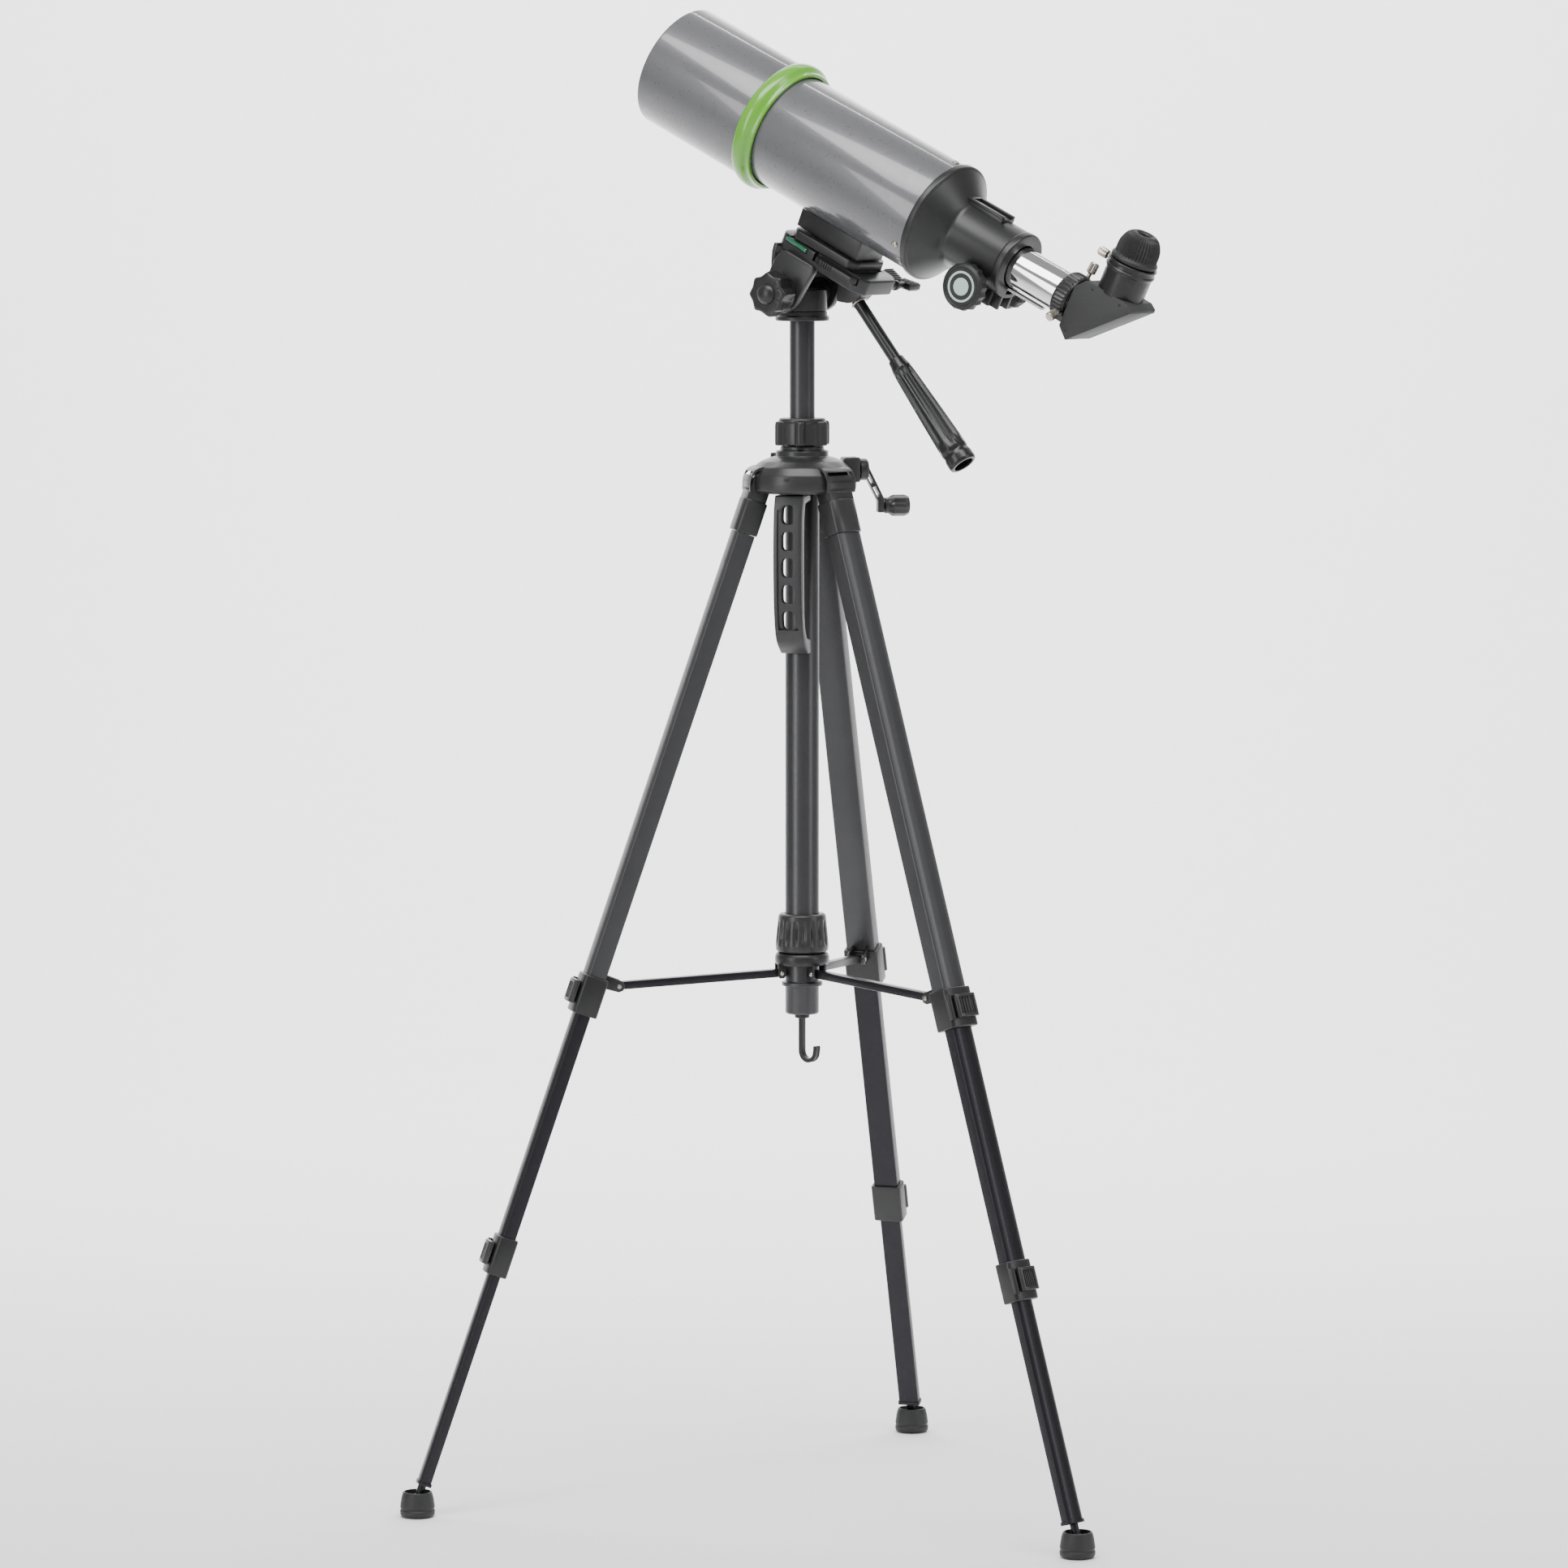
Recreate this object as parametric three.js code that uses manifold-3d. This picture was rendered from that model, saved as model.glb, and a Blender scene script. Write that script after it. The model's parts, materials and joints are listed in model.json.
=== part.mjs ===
// Refractor telescope on a folding tripod, in millimetres, +Z up, +X the way the telescope looks.
// The column stands on the stand group's Z axis; the group is centred on its own box at the end.
import * as THREE from 'three';
import { mergeVertices } from 'three/addons/utils/BufferGeometryUtils.js';
import Module from 'manifold-3d';

const wasm = await Module();
wasm.setup();

// ---- driving dimensions -------------------------------------------------------------------
const GAP = 0.3;                  // clearance between touching pieces
const COLUMN_R = 10.7;            // centre column
const OUTER_TUBE_R = 14.5;
const COLUMN_LOW = 560;
const HEAD_BASE_Z = 1015;         // underside of the pan head
const TILT_Z = 1038.6;            // height of the tilt axis
const ELEVATION = 25.6;           // degrees, nose of the telescope above the horizon
const AXIS_ABOVE_TILT = 117.4;    // tube axis above the tilt axis

const LEG_AZIMUTHS = { a: 47.6, b: 167.6, c: -72.4 };
const LEG_PIVOT_R = 37.4;
const LEG_PIVOT_Z = 878;
const FOOT_CIRCLE_R = 336;
const BALL_Z = 14;                // ball joint of a foot
const BALL_R = 6;
const LEG_REACH = FOOT_CIRCLE_R - LEG_PIVOT_R;
const LEG_DROP = LEG_PIVOT_Z - BALL_Z;
const LEG_LENGTH = Math.hypot(LEG_REACH, LEG_DROP);
const LEG_LEAN = THREE.MathUtils.radToDeg(Math.atan2(LEG_REACH, LEG_DROP));
const YOKE_END = 45;              // distances along the leg, from its pivot
const UPPER_CLAMP = 459.6;
const MID_TOP = 290;
const LOWER_CLAMP = 694;
const LOWER_TOP = 545;
const LOWER_END = LEG_LENGTH - 17;
const CLAMP_LENGTH = 34;
const UPPER_TUBE = { wide: 26, deep: 18, wall: 1.4 };
const MID_TUBE = { wide: 22, deep: 14, wall: 1.2 };
const LOWER_TUBE = { wide: 18.4, deep: 10.6, wall: 1.2 };

const HUB_Z = 458;                // inner pivots of the spreader arms
const HUB_PIVOT_R = 19;
const LUG_PIVOT_R = 159;          // outer pivots of the spreader arms
const LUG_PIVOT_Z = 447.8;
const ARM_SHORT_OF_LUG = 26;      // the open pivot of the linkage
const LUG_OUT = LUG_PIVOT_R - LEG_PIVOT_R;
const LUG_DOWN = LEG_PIVOT_Z - LUG_PIVOT_Z;
const LUG_ALONG = (LUG_OUT * LEG_REACH + LUG_DOWN * LEG_DROP) / LEG_LENGTH;

const NECK_TOP = 908.6;           // top of the canopy
const CRANK_AZIMUTH = -132.4;
const CRANK_Z = 888;
const CRANK_DROP = 31;            // crank knob below the crank shaft
const HANDLE_AZIMUTH = 107.6;     // carrying handle

const HANDLE_DROP = 51.4 - ELEVATION;   // the pan handle below the tilt frame's own -X
const HANDLE_ROOT = [-45, 0, 23.5];

const TUBE_R = 50;
const SHIELD_R = 53.5;
const SHIELD_FRONT = 198.3;       // stations along the tube axis, + to the front
const RING_X = 78.3;
const TUBE_REAR = -99.8;
const CONE_REAR = -124.7;
const HOUSING_REAR = -187.7;
const PINION_X = -165.7;
const PINION_Z = -28;
const DRAWTUBE_R = 18.25;
const COLLAR_FRONT = -238;
const COLLAR_REAR = -251.7;
const EYE_X = -286;               // axis of the eyepiece holder
const DIAGONAL_WIDE = 39;
const HOLDER_SCREW_Z = 48;
const SCREW_X = -249.3;
const SCREW_TURNS = [12, -115];   // about the tube axis, from straight up

// ---- helpers ------------------------------------------------------------------------------
const rad = THREE.MathUtils.degToRad;

function solid(geometry) {
  const bare = geometry.clone();
  bare.deleteAttribute('normal');
  bare.deleteAttribute('uv');
  const merged = mergeVertices(bare, 1e-4);
  const mesh = new wasm.Mesh({
    numProp: 3,
    vertProperties: new Float32Array(merged.attributes.position.array),
    triVerts: new Uint32Array(merged.index.array),
  });
  return new wasm.Manifold(mesh);
}

function geometryOf(body) {
  const mesh = body.getMesh();
  const geometry = new THREE.BufferGeometry();
  geometry.setAttribute('position', new THREE.BufferAttribute(new Float32Array(mesh.vertProperties), 3));
  geometry.setIndex(new THREE.BufferAttribute(new Uint32Array(mesh.triVerts), 1));
  geometry.computeVertexNormals();
  return geometry;
}

const join = (first, ...others) => geometryOf(others.reduce((sum, g) => sum.add(solid(g)), solid(first)));
const cut = (first, ...tools) => geometryOf(tools.reduce((rest, g) => rest.subtract(solid(g)), solid(first)));

// A rod standing on Z, from one height to another.
function rod(radius, low, high, sides = 24, topRadius = radius) {
  const geometry = new THREE.CylinderGeometry(topRadius, radius, high - low, sides);
  return geometry.rotateX(Math.PI / 2).translate(0, 0, (low + high) / 2);
}

const alongX = (geometry) => geometry.rotateY(Math.PI / 2);
const alongY = (geometry) => geometry.rotateX(-Math.PI / 2);

// A turned ring or shaft: [radius, height] points, closed on the axis or on themselves.
function turned(profile, sides = 32) {
  const points = profile.map(([r, z]) => new THREE.Vector2(r, z));
  const first = profile[0];
  const onAxis = first[0] === 0 && profile.at(-1)[0] === 0;
  if (!onAxis) points.push(new THREE.Vector2(first[0], first[1]));
  return new THREE.LatheGeometry(points, sides).rotateX(Math.PI / 2);
}

// A box given by its low and high corners.
function block([x0, y0, z0], [x1, y1, z1]) {
  const geometry = new THREE.BoxGeometry(x1 - x0, y1 - y0, z1 - z0);
  return geometry.translate((x0 + x1) / 2, (y0 + y1) / 2, (z0 + z1) / 2);
}

// A flat outline pushed up Z from one height to another.
function slab(outline, low, high) {
  const shape = new THREE.Shape(outline.map(([x, y]) => new THREE.Vector2(x, y)));
  return new THREE.ExtrudeGeometry(shape, { depth: high - low, bevelEnabled: false }).translate(0, 0, low);
}

// An outline drawn in X and Z, pushed along Y.
function sideSlab(outline, low, high) {
  return slab(outline, -high, -low).rotateX(Math.PI / 2);
}

// Gear-like outline: flat lobes standing out of a round core.
function lobed(core, tip, lobes, share) {
  const outline = [];
  for (let i = 0; i < lobes; i += 1) {
    const middle = (i * 2 * Math.PI) / lobes;
    const half = (share * Math.PI) / lobes;
    for (const [r, a] of [[core, -1.25], [tip, -0.85], [tip, 0.85], [core, 1.25]]) {
      outline.push([r * Math.cos(middle + a * half), r * Math.sin(middle + a * half)]);
    }
  }
  return outline;
}

// A leg tube's outline: flat inside and sides, a gently bowed outer face towards +X.
function legOutline({ wide, deep }, grow = 0) {
  const w = wide / 2 + grow;
  const d = deep / 2 + grow;
  const bow = 2.2;
  return [[-d, -w], [d - bow, -w], [d - 0.5, -w * 0.55], [d, 0], [d - 0.5, w * 0.55], [d - bow, w], [-d, w]];
}

const finish = (color, roughness, metalness = 0) => ({ color, roughness, metalness });
const FINISHES = {
  greyPaint: finish(0x77777a, 0.25, 0.3),
  greenPlastic: finish(0x76b043, 0.25),
  blackPlastic: finish(0x2e2e30, 0.5),
  softBlack: finish(0x242426, 0.7),
  darkAlloy: finish(0x4a4a4b, 0.4, 0.7),
  blackAlloy: finish(0x232226, 0.35, 0.7),
  chrome: finish(0xe0e0e0, 0.05, 1),
  nickel: finish(0xb9b2a8, 0.3, 1),
  glass: finish(0xcfe4e0, 0.05),
};

function part(parent, name, geometry, finishName) {
  const material = new THREE.MeshStandardMaterial(FINISHES[finishName]);
  const mesh = new THREE.Mesh(geometry, material);
  mesh.name = name;
  parent.add(mesh);
  return mesh;
}

function frameAt(parent, { x = 0, y = 0, z = 0, turn = 0, lean = 0 }) {
  const group = new THREE.Group();
  group.position.set(x, y, z);
  group.rotation.set(0, rad(lean), rad(turn), 'ZYX');
  parent.add(group);
  return group;
}

// ---- column, canopy and spreader hub ------------------------------------------------------
function centreColumn() {
  const top = HEAD_BASE_Z - GAP;
  return turned([[9, COLUMN_LOW], [COLUMN_R, COLUMN_LOW], [COLUMN_R, top], [9, top]], 24);
}

function outerTube() {
  const ringLow = 446;
  const ringHigh = 450.5;
  const inside = COLUMN_R + 1.2;
  return turned([[inside, 422.5], [13.4, 422.5], [14.2, 424], [OUTER_TUBE_R, 424.5], [OUTER_TUBE_R, ringLow],
    [17.4, ringLow + 0.8], [17.4, ringHigh - 0.8], [OUTER_TUBE_R, ringHigh], [OUTER_TUBE_R, 886],
    [inside, 886]], 24);
}

function canopy() {
  const dome = turned([[OUTER_TUBE_R + GAP, 869], [43, 869], [45.8, 872], [46.5, 880], [43, 889],
    [36, 895], [27, 899], [22.5, 900], [22.5, 905], [18, 905.3], [18, NECK_TOP], [COLUMN_R + 0.6, NECK_TOP],
    [COLUMN_R + 0.6, 887], [OUTER_TUBE_R + GAP, 887]], 32);
  const slots = Object.values(LEG_AZIMUTHS).map((azimuth) =>
    block([21.5, -13.4, 860], [60, 13.4, 888]).rotateZ(rad(azimuth)));
  const bearing = block([34, -10, 877], [49, 10, 899]).rotateZ(rad(CRANK_AZIMUTH));
  const shaftHole = alongX(rod(3.4, 20, 60, 12)).translate(0, 0, CRANK_Z).rotateZ(rad(CRANK_AZIMUTH));
  return cut(join(cut(dome, ...slots), bearing), shaftHole, rod(COLUMN_R + 0.6, 880, 920, 20));
}

function columnCollar() {
  const body = slab(lobed(20, 25.5, 6, 0.42), 909.2, 930);
  return cut(join(body, rod(19.5, 909, 932.5, 24)), rod(COLUMN_R + 0.5, 900, 940, 20));
}

// The cranked arm: a shaft in the canopy, a hub, and an arm that leans out to its knob.
function crankArm() {
  const shaft = alongX(rod(2.9, 22, 56, 12));
  const hub = alongX(rod(9.5, 49.6, 57, 20));
  const arm = sideSlab([[50, 4], [56, 5], [71, -25], [71, -37], [65.5, -37], [65.5, -27]], -5, 5);
  const stub = alongX(rod(3.2, 66, 92.4, 12)).translate(0, 0, -CRANK_DROP);
  return join(shaft, hub, arm, stub);
}

function crankKnob() {
  const inside = 3.5;
  return alongX(turned([[inside, 71.6], [7, 71.6], [7, 75], [8.4, 77], [9.2, 80], [9.2, 90], [8, 93],
    [inside, 93]], 16)).translate(0, 0, -CRANK_DROP);
}

// The carrying handle: a bowed grip with finger slots, held by a foot at each end.
function carryHandle() {
  const inner = 15.1;
  const bow = [[inner, 868.7], [39, 868.7], [43, 850], [44, 810], [42, 770], [36, 746], [22, 733],
    [inner, 733], [inner, 745], [26, 747], [32, 762], [34, 810], [33, 848], [30, 861], [inner, 863]];
  const grip = sideSlab(bow, -12.5, 12.5);
  const slots = [];
  for (let i = 0; i < 5; i += 1) {
    const z = 762 + i * 23;
    slots.push(block([28, -5, z - 8], [50, 5, z + 8]));
  }
  const clearOfTube = rod(OUTER_TUBE_R + GAP, 700, 900, 24);
  return cut(grip, ...slots, clearOfTube);
}

function lowerCollar() {
  const inside = OUTER_TUBE_R + 0.4;
  return turned([[inside, 475.3], [20.5, 475.3], [22.6, 478], [22.8, 482], [20.6, 507], [18.5, 509],
    [inside, 509]], 24);
}

function spreaderHub() {
  const inside = OUTER_TUBE_R + 0.4;
  const ring = turned([[inside, 465], [23, 465], [23.4, 470], [22, 475], [inside, 475]], 24);
  const ears = [];
  for (const azimuth of Object.values(LEG_AZIMUTHS)) {
    for (const side of [-1, 1]) {
      const near = side * 4.9;
      const far = side * 7.4;
      const ear = block([15.5, Math.min(near, far), 453], [22.6, Math.max(near, far), 466]);
      ears.push(ear.rotateZ(rad(azimuth)));
    }
  }
  return cut(join(ring, ...ears), rod(inside, 440, 480, 24));
}

class HookLine extends THREE.Curve {
  getPoint(t) {
    const straight = 0.45;
    const r = 7.6;
    if (t < straight) return new THREE.Vector3(0, 0, 421 - (t / straight) * 30);
    const a = ((t - straight) / (1 - straight)) * Math.PI * 1.02;
    const z = 391 - r * 1.15 * Math.sin(a) + Math.max(0, a - 2.6) * 6;
    return new THREE.Vector3(-r + r * Math.cos(a), 0, z);
  }
}

function hook() {
  const section = new THREE.Shape([[-1.6, -3], [1.6, -3], [2.2, 0], [1.6, 3], [-1.6, 3], [-2.2, 0]]
    .map(([x, y]) => new THREE.Vector2(y, x)));
  const bar = new THREE.ExtrudeGeometry(section, { steps: 16, extrudePath: new HookLine() });
  const cap = rod(6.5, 418.5, 422.2, 16);
  const pin = rod(4, 420, 440, 12);
  return join(cap, pin, bar);
}

// ---- legs ---------------------------------------------------------------------------------
// Each leg has its own frame: origin at its pivot, -Z down the leg, +X its outer face.
function legTube(section, top, bottom) {
  const outer = slab(legOutline(section), -bottom, -top);
  const inner = slab(legOutline(section, -section.wall), -bottom - 1, -top + 1);
  return cut(outer, inner);
}

function clampCasting(section, inner, at) {
  const low = -at - CLAMP_LENGTH / 2;
  const high = -at + CLAMP_LENGTH / 2;
  const shell = slab(legOutline({ wide: section.wide + 5, deep: section.deep + 5 }), low, high);
  const knuckle = rod(2.6, low + 6, high - 6, 10).translate(section.deep / 2 + 2, -section.wide / 2 - 0.8, 0);
  const bored = slab(legOutline(inner, 0.4), low - 1, high + 1);
  return { shell: join(shell, knuckle), bored };
}

function yoke() {
  const head = alongY(rod(9.2, -12.9, 12.9, 20));
  const body = slab([[-10.5, -14.2], [8.6, -14.2], [10.8, -8], [10.8, 8], [8.6, 14.2], [-10.5, 14.2]],
    -YOKE_END, -16);
  const neck = block([-8.8, -12.9, -17], [8.8, 12.9, 0]);
  return join(head, neck, body);
}

function upperTube() {
  const { shell, bored } = clampCasting(UPPER_TUBE, MID_TUBE, UPPER_CLAMP);
  const tube = legTube(UPPER_TUBE, YOKE_END + GAP, UPPER_CLAMP);
  const ears = [-1, 1].map((side) => {
    const [near, far] = [side * 5.1, side * 8].sort((p, q) => p - q);
    return block([-27.5, near, -LUG_ALONG - 6], [-10, far, -LUG_ALONG + 6]);
  });
  return join(cut(shell, bored), tube, ...ears);
}

function midTube() {
  const { shell, bored } = clampCasting(MID_TUBE, LOWER_TUBE, LOWER_CLAMP);
  return join(cut(shell, bored), legTube(MID_TUBE, MID_TOP, LOWER_CLAMP));
}

function lowerTube() {
  const plug = slab(legOutline(LOWER_TUBE, 0.8), -LOWER_END - 3, -LOWER_END);
  const plugInside = slab(legOutline(LOWER_TUBE, -0.6), -LOWER_END, -LOWER_END + 10);
  const neck = rod(3.6, -LEG_LENGTH + 2, -LOWER_END - 2, 10);
  const ball = new THREE.SphereGeometry(BALL_R, 12, 8).translate(0, 0, -LEG_LENGTH);
  return join(legTube(LOWER_TUBE, LOWER_TOP, LOWER_END + 0.2), plug, plugInside, neck, ball);
}

function lever(section, at) {
  const outerFace = (section.deep + 5) / 2;
  const half = section.wide / 2;
  const low = -at - 10;
  const high = -at + 10;
  return slab([[outerFace + 0.4, -half + 2.4], [outerFace + 0.4, half], [outerFace + 4.6, half - 0.6],
    [outerFace + 5.4, -half + 6], [outerFace + 4.6, -half + 2.4]], low, high);
}

// A round rubber foot: hollow above, flat below.
function foot() {
  return turned([[0, 0], [13.2, 0], [15.1, 3], [14.9, 9], [13.6, 17], [12.2, 21.5], [10.8, 21.5],
    [10.8, BALL_Z - BALL_R - 0.5], [0, BALL_Z - BALL_R - 0.5]], 20);
}

function spreaderArm() {
  const span = Math.hypot(LUG_PIVOT_R - HUB_PIVOT_R, HUB_Z - LUG_PIVOT_Z);
  const slope = Math.atan2(HUB_Z - LUG_PIVOT_Z, LUG_PIVOT_R - HUB_PIVOT_R);
  const arm = block([-2.7, -4.5, -3.5], [span - ARM_SHORT_OF_LUG, 4.5, 3.5]);
  const channel = block([6, -3.3, -4], [span, 3.3, 2.2]);
  return cut(arm, channel).rotateY(slope).translate(HUB_PIVOT_R, 0, HUB_Z);
}

function buildLeg(stand, letter, azimuth) {
  const plane = frameAt(stand, { turn: azimuth });
  const leg = frameAt(plane, { x: LEG_PIVOT_R, z: LEG_PIVOT_Z, lean: -LEG_LEAN });
  const name = (piece) => `leg_${letter}_${piece}`;
  part(leg, name('yoke'), yoke(), 'blackPlastic');
  part(leg, name('upper_tube'), upperTube(), 'darkAlloy');
  part(leg, name('upper_lever'), lever(UPPER_TUBE, UPPER_CLAMP), 'blackPlastic');
  part(leg, name('mid_tube'), midTube(), 'blackAlloy');
  part(leg, name('lower_lever'), lever(MID_TUBE, LOWER_CLAMP), 'blackPlastic');
  part(leg, name('lower_tube'), lowerTube(), 'blackAlloy');
  part(frameAt(plane, { x: FOOT_CIRCLE_R }), name('foot'), foot(), 'softBlack');
  part(plane, name('spreader_arm'), spreaderArm(), 'blackAlloy');
}

// ---- pan head -----------------------------------------------------------------------------
function panBase() {
  return turned([[0, HEAD_BASE_Z], [23, HEAD_BASE_Z], [23, 1019], [21.4, 1019.5], [21.4, 1023],
    [0, 1023]], 28);
}

// The swivelling part: a round plinth with a cross barrel on the tilt axis.
function tiltBody() {
  const plinth = rod(21.2, 1023.3, 1034, 28);
  const barrel = alongY(rod(13, -23.5, 23.5, 28)).translate(0, 0, TILT_Z);
  const axle = alongY(rod(4, -40, 44, 14)).translate(0, 0, TILT_Z);
  return join(plinth, barrel, axle);
}

// Tilt frame: origin on the tilt axis, +X along the tube, +Z away from the stand.
function headPlatform() {
  const deck = slab([[24, -22], [30, -14], [30, 14], [24, 22], [-10, 28], [-60, 28], [-70, 20], [-70, -20],
    [-60, -28], [-10, -28]], 32, 45.5);
  const recess = block([-53, -22.5, 41.5], [18, 22.5, 50]);
  const cheek = [[14, 33], [18, 20], [19, 6], [14, -11], [3, -17], [-9, -15], [-17, -6], [-18, 8], [-22, 33]];
  const cheeks = [sideSlab(cheek, 24, 31), sideSlab(cheek, -31, -24)];
  const socket = sideSlab([[-34, 33], [-40, 12], [-52, 16], [-58, 22], [-62, 33]], -9.5, 9.5);
  const leverSlot = block([-63, 22.8, 38.2], [-14, 40, 45.6]);
  const axleHole = alongY(rod(4.4, -60, 60, 14));
  const bore = rod(5.6, -30, 2, 16).rotateY(rad(90 - HANDLE_DROP)).translate(...HANDLE_ROOT);
  return cut(join(deck, ...cheeks, socket), recess, leverSlot, axleHole, bore);
}

function releasePlate() {
  const outline = [[17, -16], [17, 16], [11, 22], [-46, 22], [-52, 16], [-52, -16], [-46, -22], [11, -22]];
  const tongue = slab(outline, 41.8, 46);
  const flange = slab(outline.map(([x, y]) => [x * 1.03 + 0.5, y * 1.18]), 46, 54.2);
  return join(tongue, flange);
}

function releaseLever() {
  return slab([[-22, 23.2], [-17, 24.6], [-17, 29.5], [-24, 32.5], [-58, 31], [-62, 27], [-62, 23.2]],
    38.6, 44);
}

function sideKnob() {
  const grip = alongY(turned([[4.3, 0], [15, 0], [15, 8], [17.5, 10], [17.5, 20], [14, 22], [4.3, 22]], 8));
  const lobes = alongY(slab(lobed(15.5, 19.5, 8, 0.6), 7, 21));
  const dome = alongY(turned([[0, 13.5], [9, 13.5], [9, 22], [7, 25], [3.5, 26.6], [0, 27]], 20));
  return cut(join(grip, lobes, dome), alongY(rod(4.3, -1, 13.4, 14))).translate(0, 31.4, 0);
}

function handleRod() {
  return turned([[0, -1], [4.2, -1], [5.35, 3], [5.35, 150], [4.2, 151], [0, 151]], 16);
}

function handleGrip() {
  const hole = 5.65;
  return turned([[hole, 72], [7.2, 72], [8.6, 80], [9, 90], [11.4, 140], [12.3, 168], [11.4, 171],
    [12.4, 174], [12.4, 182], [11.4, 183], [8.5, 183], [8.5, 152], [hole, 152]], 20);
}

// ---- telescope ----------------------------------------------------------------------------
// Tube frame: X on the tube axis, stations as given at the top.
const tubeTurned = (profile, sides) => alongX(turned(profile, sides));

function dewShield() {
  return tubeTurned([[51.7, RING_X], [SHIELD_R, RING_X], [SHIELD_R, SHIELD_FRONT - 1],
    [SHIELD_R - 0.8, SHIELD_FRONT], [51.7, SHIELD_FRONT]], 40);
}

function trimRing() {
  const step = RING_X - 0.4;
  return tubeTurned([[TUBE_R + GAP, 69], [54, 69], [57, 71.5], [58, 76], [58, 82], [57, 86], [55, 88],
    [SHIELD_R + GAP, 88], [SHIELD_R + GAP, step], [TUBE_R + GAP, step]], 36);
}

function mainTube() {
  const front = RING_X - 0.8;
  return tubeTurned([[48.4, TUBE_REAR], [TUBE_R, TUBE_REAR], [TUBE_R, front], [48.4, front]], 40);
}

function lensCell() {
  return tubeTurned([[40.4, 79], [51.3, 79], [51.3, 96], [46, 97], [40.4, 94], [38.4, 93.6], [38.4, 92],
    [40.4, 92]], 28);
}

function objectiveLens() {
  return tubeTurned([[0, 79.5], [30, 81], [40, 83.4], [40, 88], [34, 90], [24, 91.4], [12, 92.2],
    [0, 92.5]], 20);
}

function focuserHousing() {
  const shell = tubeTurned([[19, HOUSING_REAR], [28.2, HOUSING_REAR], [29.4, HOUSING_REAR + 1.5],
    [29.4, CONE_REAR - 4], [31, CONE_REAR], [50, -106.5], [52.6, -106.5], [52.6, TUBE_REAR - GAP],
    [48, TUBE_REAR - GAP], [48, TUBE_REAR + 10], [46.6, TUBE_REAR + 10], [46.6, -103], [28, -120],
    [19, -124]], 28);
  const gearBox = block([PINION_X - 15, -13, -40], [PINION_X + 15, 13, -24]);
  const shoe = join(block([-161, -9.5, 27], [-121, 9.5, 32.6]), block([-161, -6, 30], [-121, 6, 33.2]));
  const shoeSlot = block([-162, -3.6, 31], [-122, 3.6, 35]);
  const bore = alongX(rod(19, -200, -118, 28));
  const rackSlot = block([-200, -4.6, -25.4], [-108, 4.6, -15]);
  const pinionPocket = block([PINION_X - 8, -4.6, -36], [PINION_X + 8, 4.6, -20]);
  const shaftHole = alongY(rod(3.3, -40, 40, 12)).translate(PINION_X, 0, PINION_Z);
  return cut(cut(join(shell, gearBox, shoe), shoeSlot), bore, rackSlot, pinionPocket, shaftHole);
}

function drawtube() {
  const front = -106;
  const tube = tubeTurned([[16.6, -246.6], [DRAWTUBE_R, -246.6], [DRAWTUBE_R, front], [16.6, front]], 28);
  const rack = block([-224, -3.4, -22], [-116, 3.4, -17.6]);
  const teeth = [];
  for (let x = -222; x < -117; x += 8) teeth.push(block([x, -4, -22.5], [x + 4, 4, -21.4]));
  return cut(join(tube, cut(rack, ...teeth)), alongX(rod(16.6, -260, -100, 28)));
}

function focusShaft() {
  const shaft = alongY(rod(2.9, -38, 38, 12));
  const pinion = alongY(slab(lobed(4.2, 5.4, 12, 0.5), -3.8, 3.8));
  return join(shaft, pinion).translate(PINION_X, 0, PINION_Z);
}

function focusKnob(side) {
  const grip = slab(lobed(18.6, 20.4, 12, 0.6), 28.9, 36.5);
  const face = turned([[0, 26.6], [12.6, 26.6], [13.6, 28.9], [18.6, 28.9], [18.6, 37], [16, 40.6],
    [0, 40.6]], 24);
  const knob = cut(join(grip, face), rod(3.2, 20, 38.4, 12));
  const turnedOut = side > 0 ? alongY(knob) : alongY(knob).rotateX(Math.PI);
  return turnedOut.translate(PINION_X, 0, PINION_Z);
}

function clampRing() {
  const ribbed = alongX(slab(lobed(20.9, 21.9, 14, 0.6), COLLAR_REAR + 2.4, COLLAR_FRONT - 2.4));
  const body = tubeTurned([[DRAWTUBE_R + GAP, COLLAR_FRONT], [20.8, COLLAR_FRONT], [21.5, COLLAR_FRONT - 2],
    [20.9, COLLAR_FRONT - 3], [20.9, COLLAR_REAR + 2], [20.4, COLLAR_REAR], [16.2, COLLAR_REAR],
    [16.2, -247], [DRAWTUBE_R + GAP, -247]].reverse(), 28);
  const holes = SCREW_TURNS.map((turn) => rod(2.2, 15, 30, 10).translate(SCREW_X, 0, 0).rotateX(rad(turn)));
  const bore = alongX(rod(16.2, -260, -246, 28));
  const seat = alongX(rod(DRAWTUBE_R + GAP, -247, -230, 28));
  return cut(join(body, ribbed), bore, seat, ...holes);
}

function thumbscrew(length) {
  return turned([[0, 0], [1.9, 0], [1.9, length], [4, length + 0.6], [4, length + 9.6], [3.4, length + 10.2],
    [0, length + 10.2]], 12);
}

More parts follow.
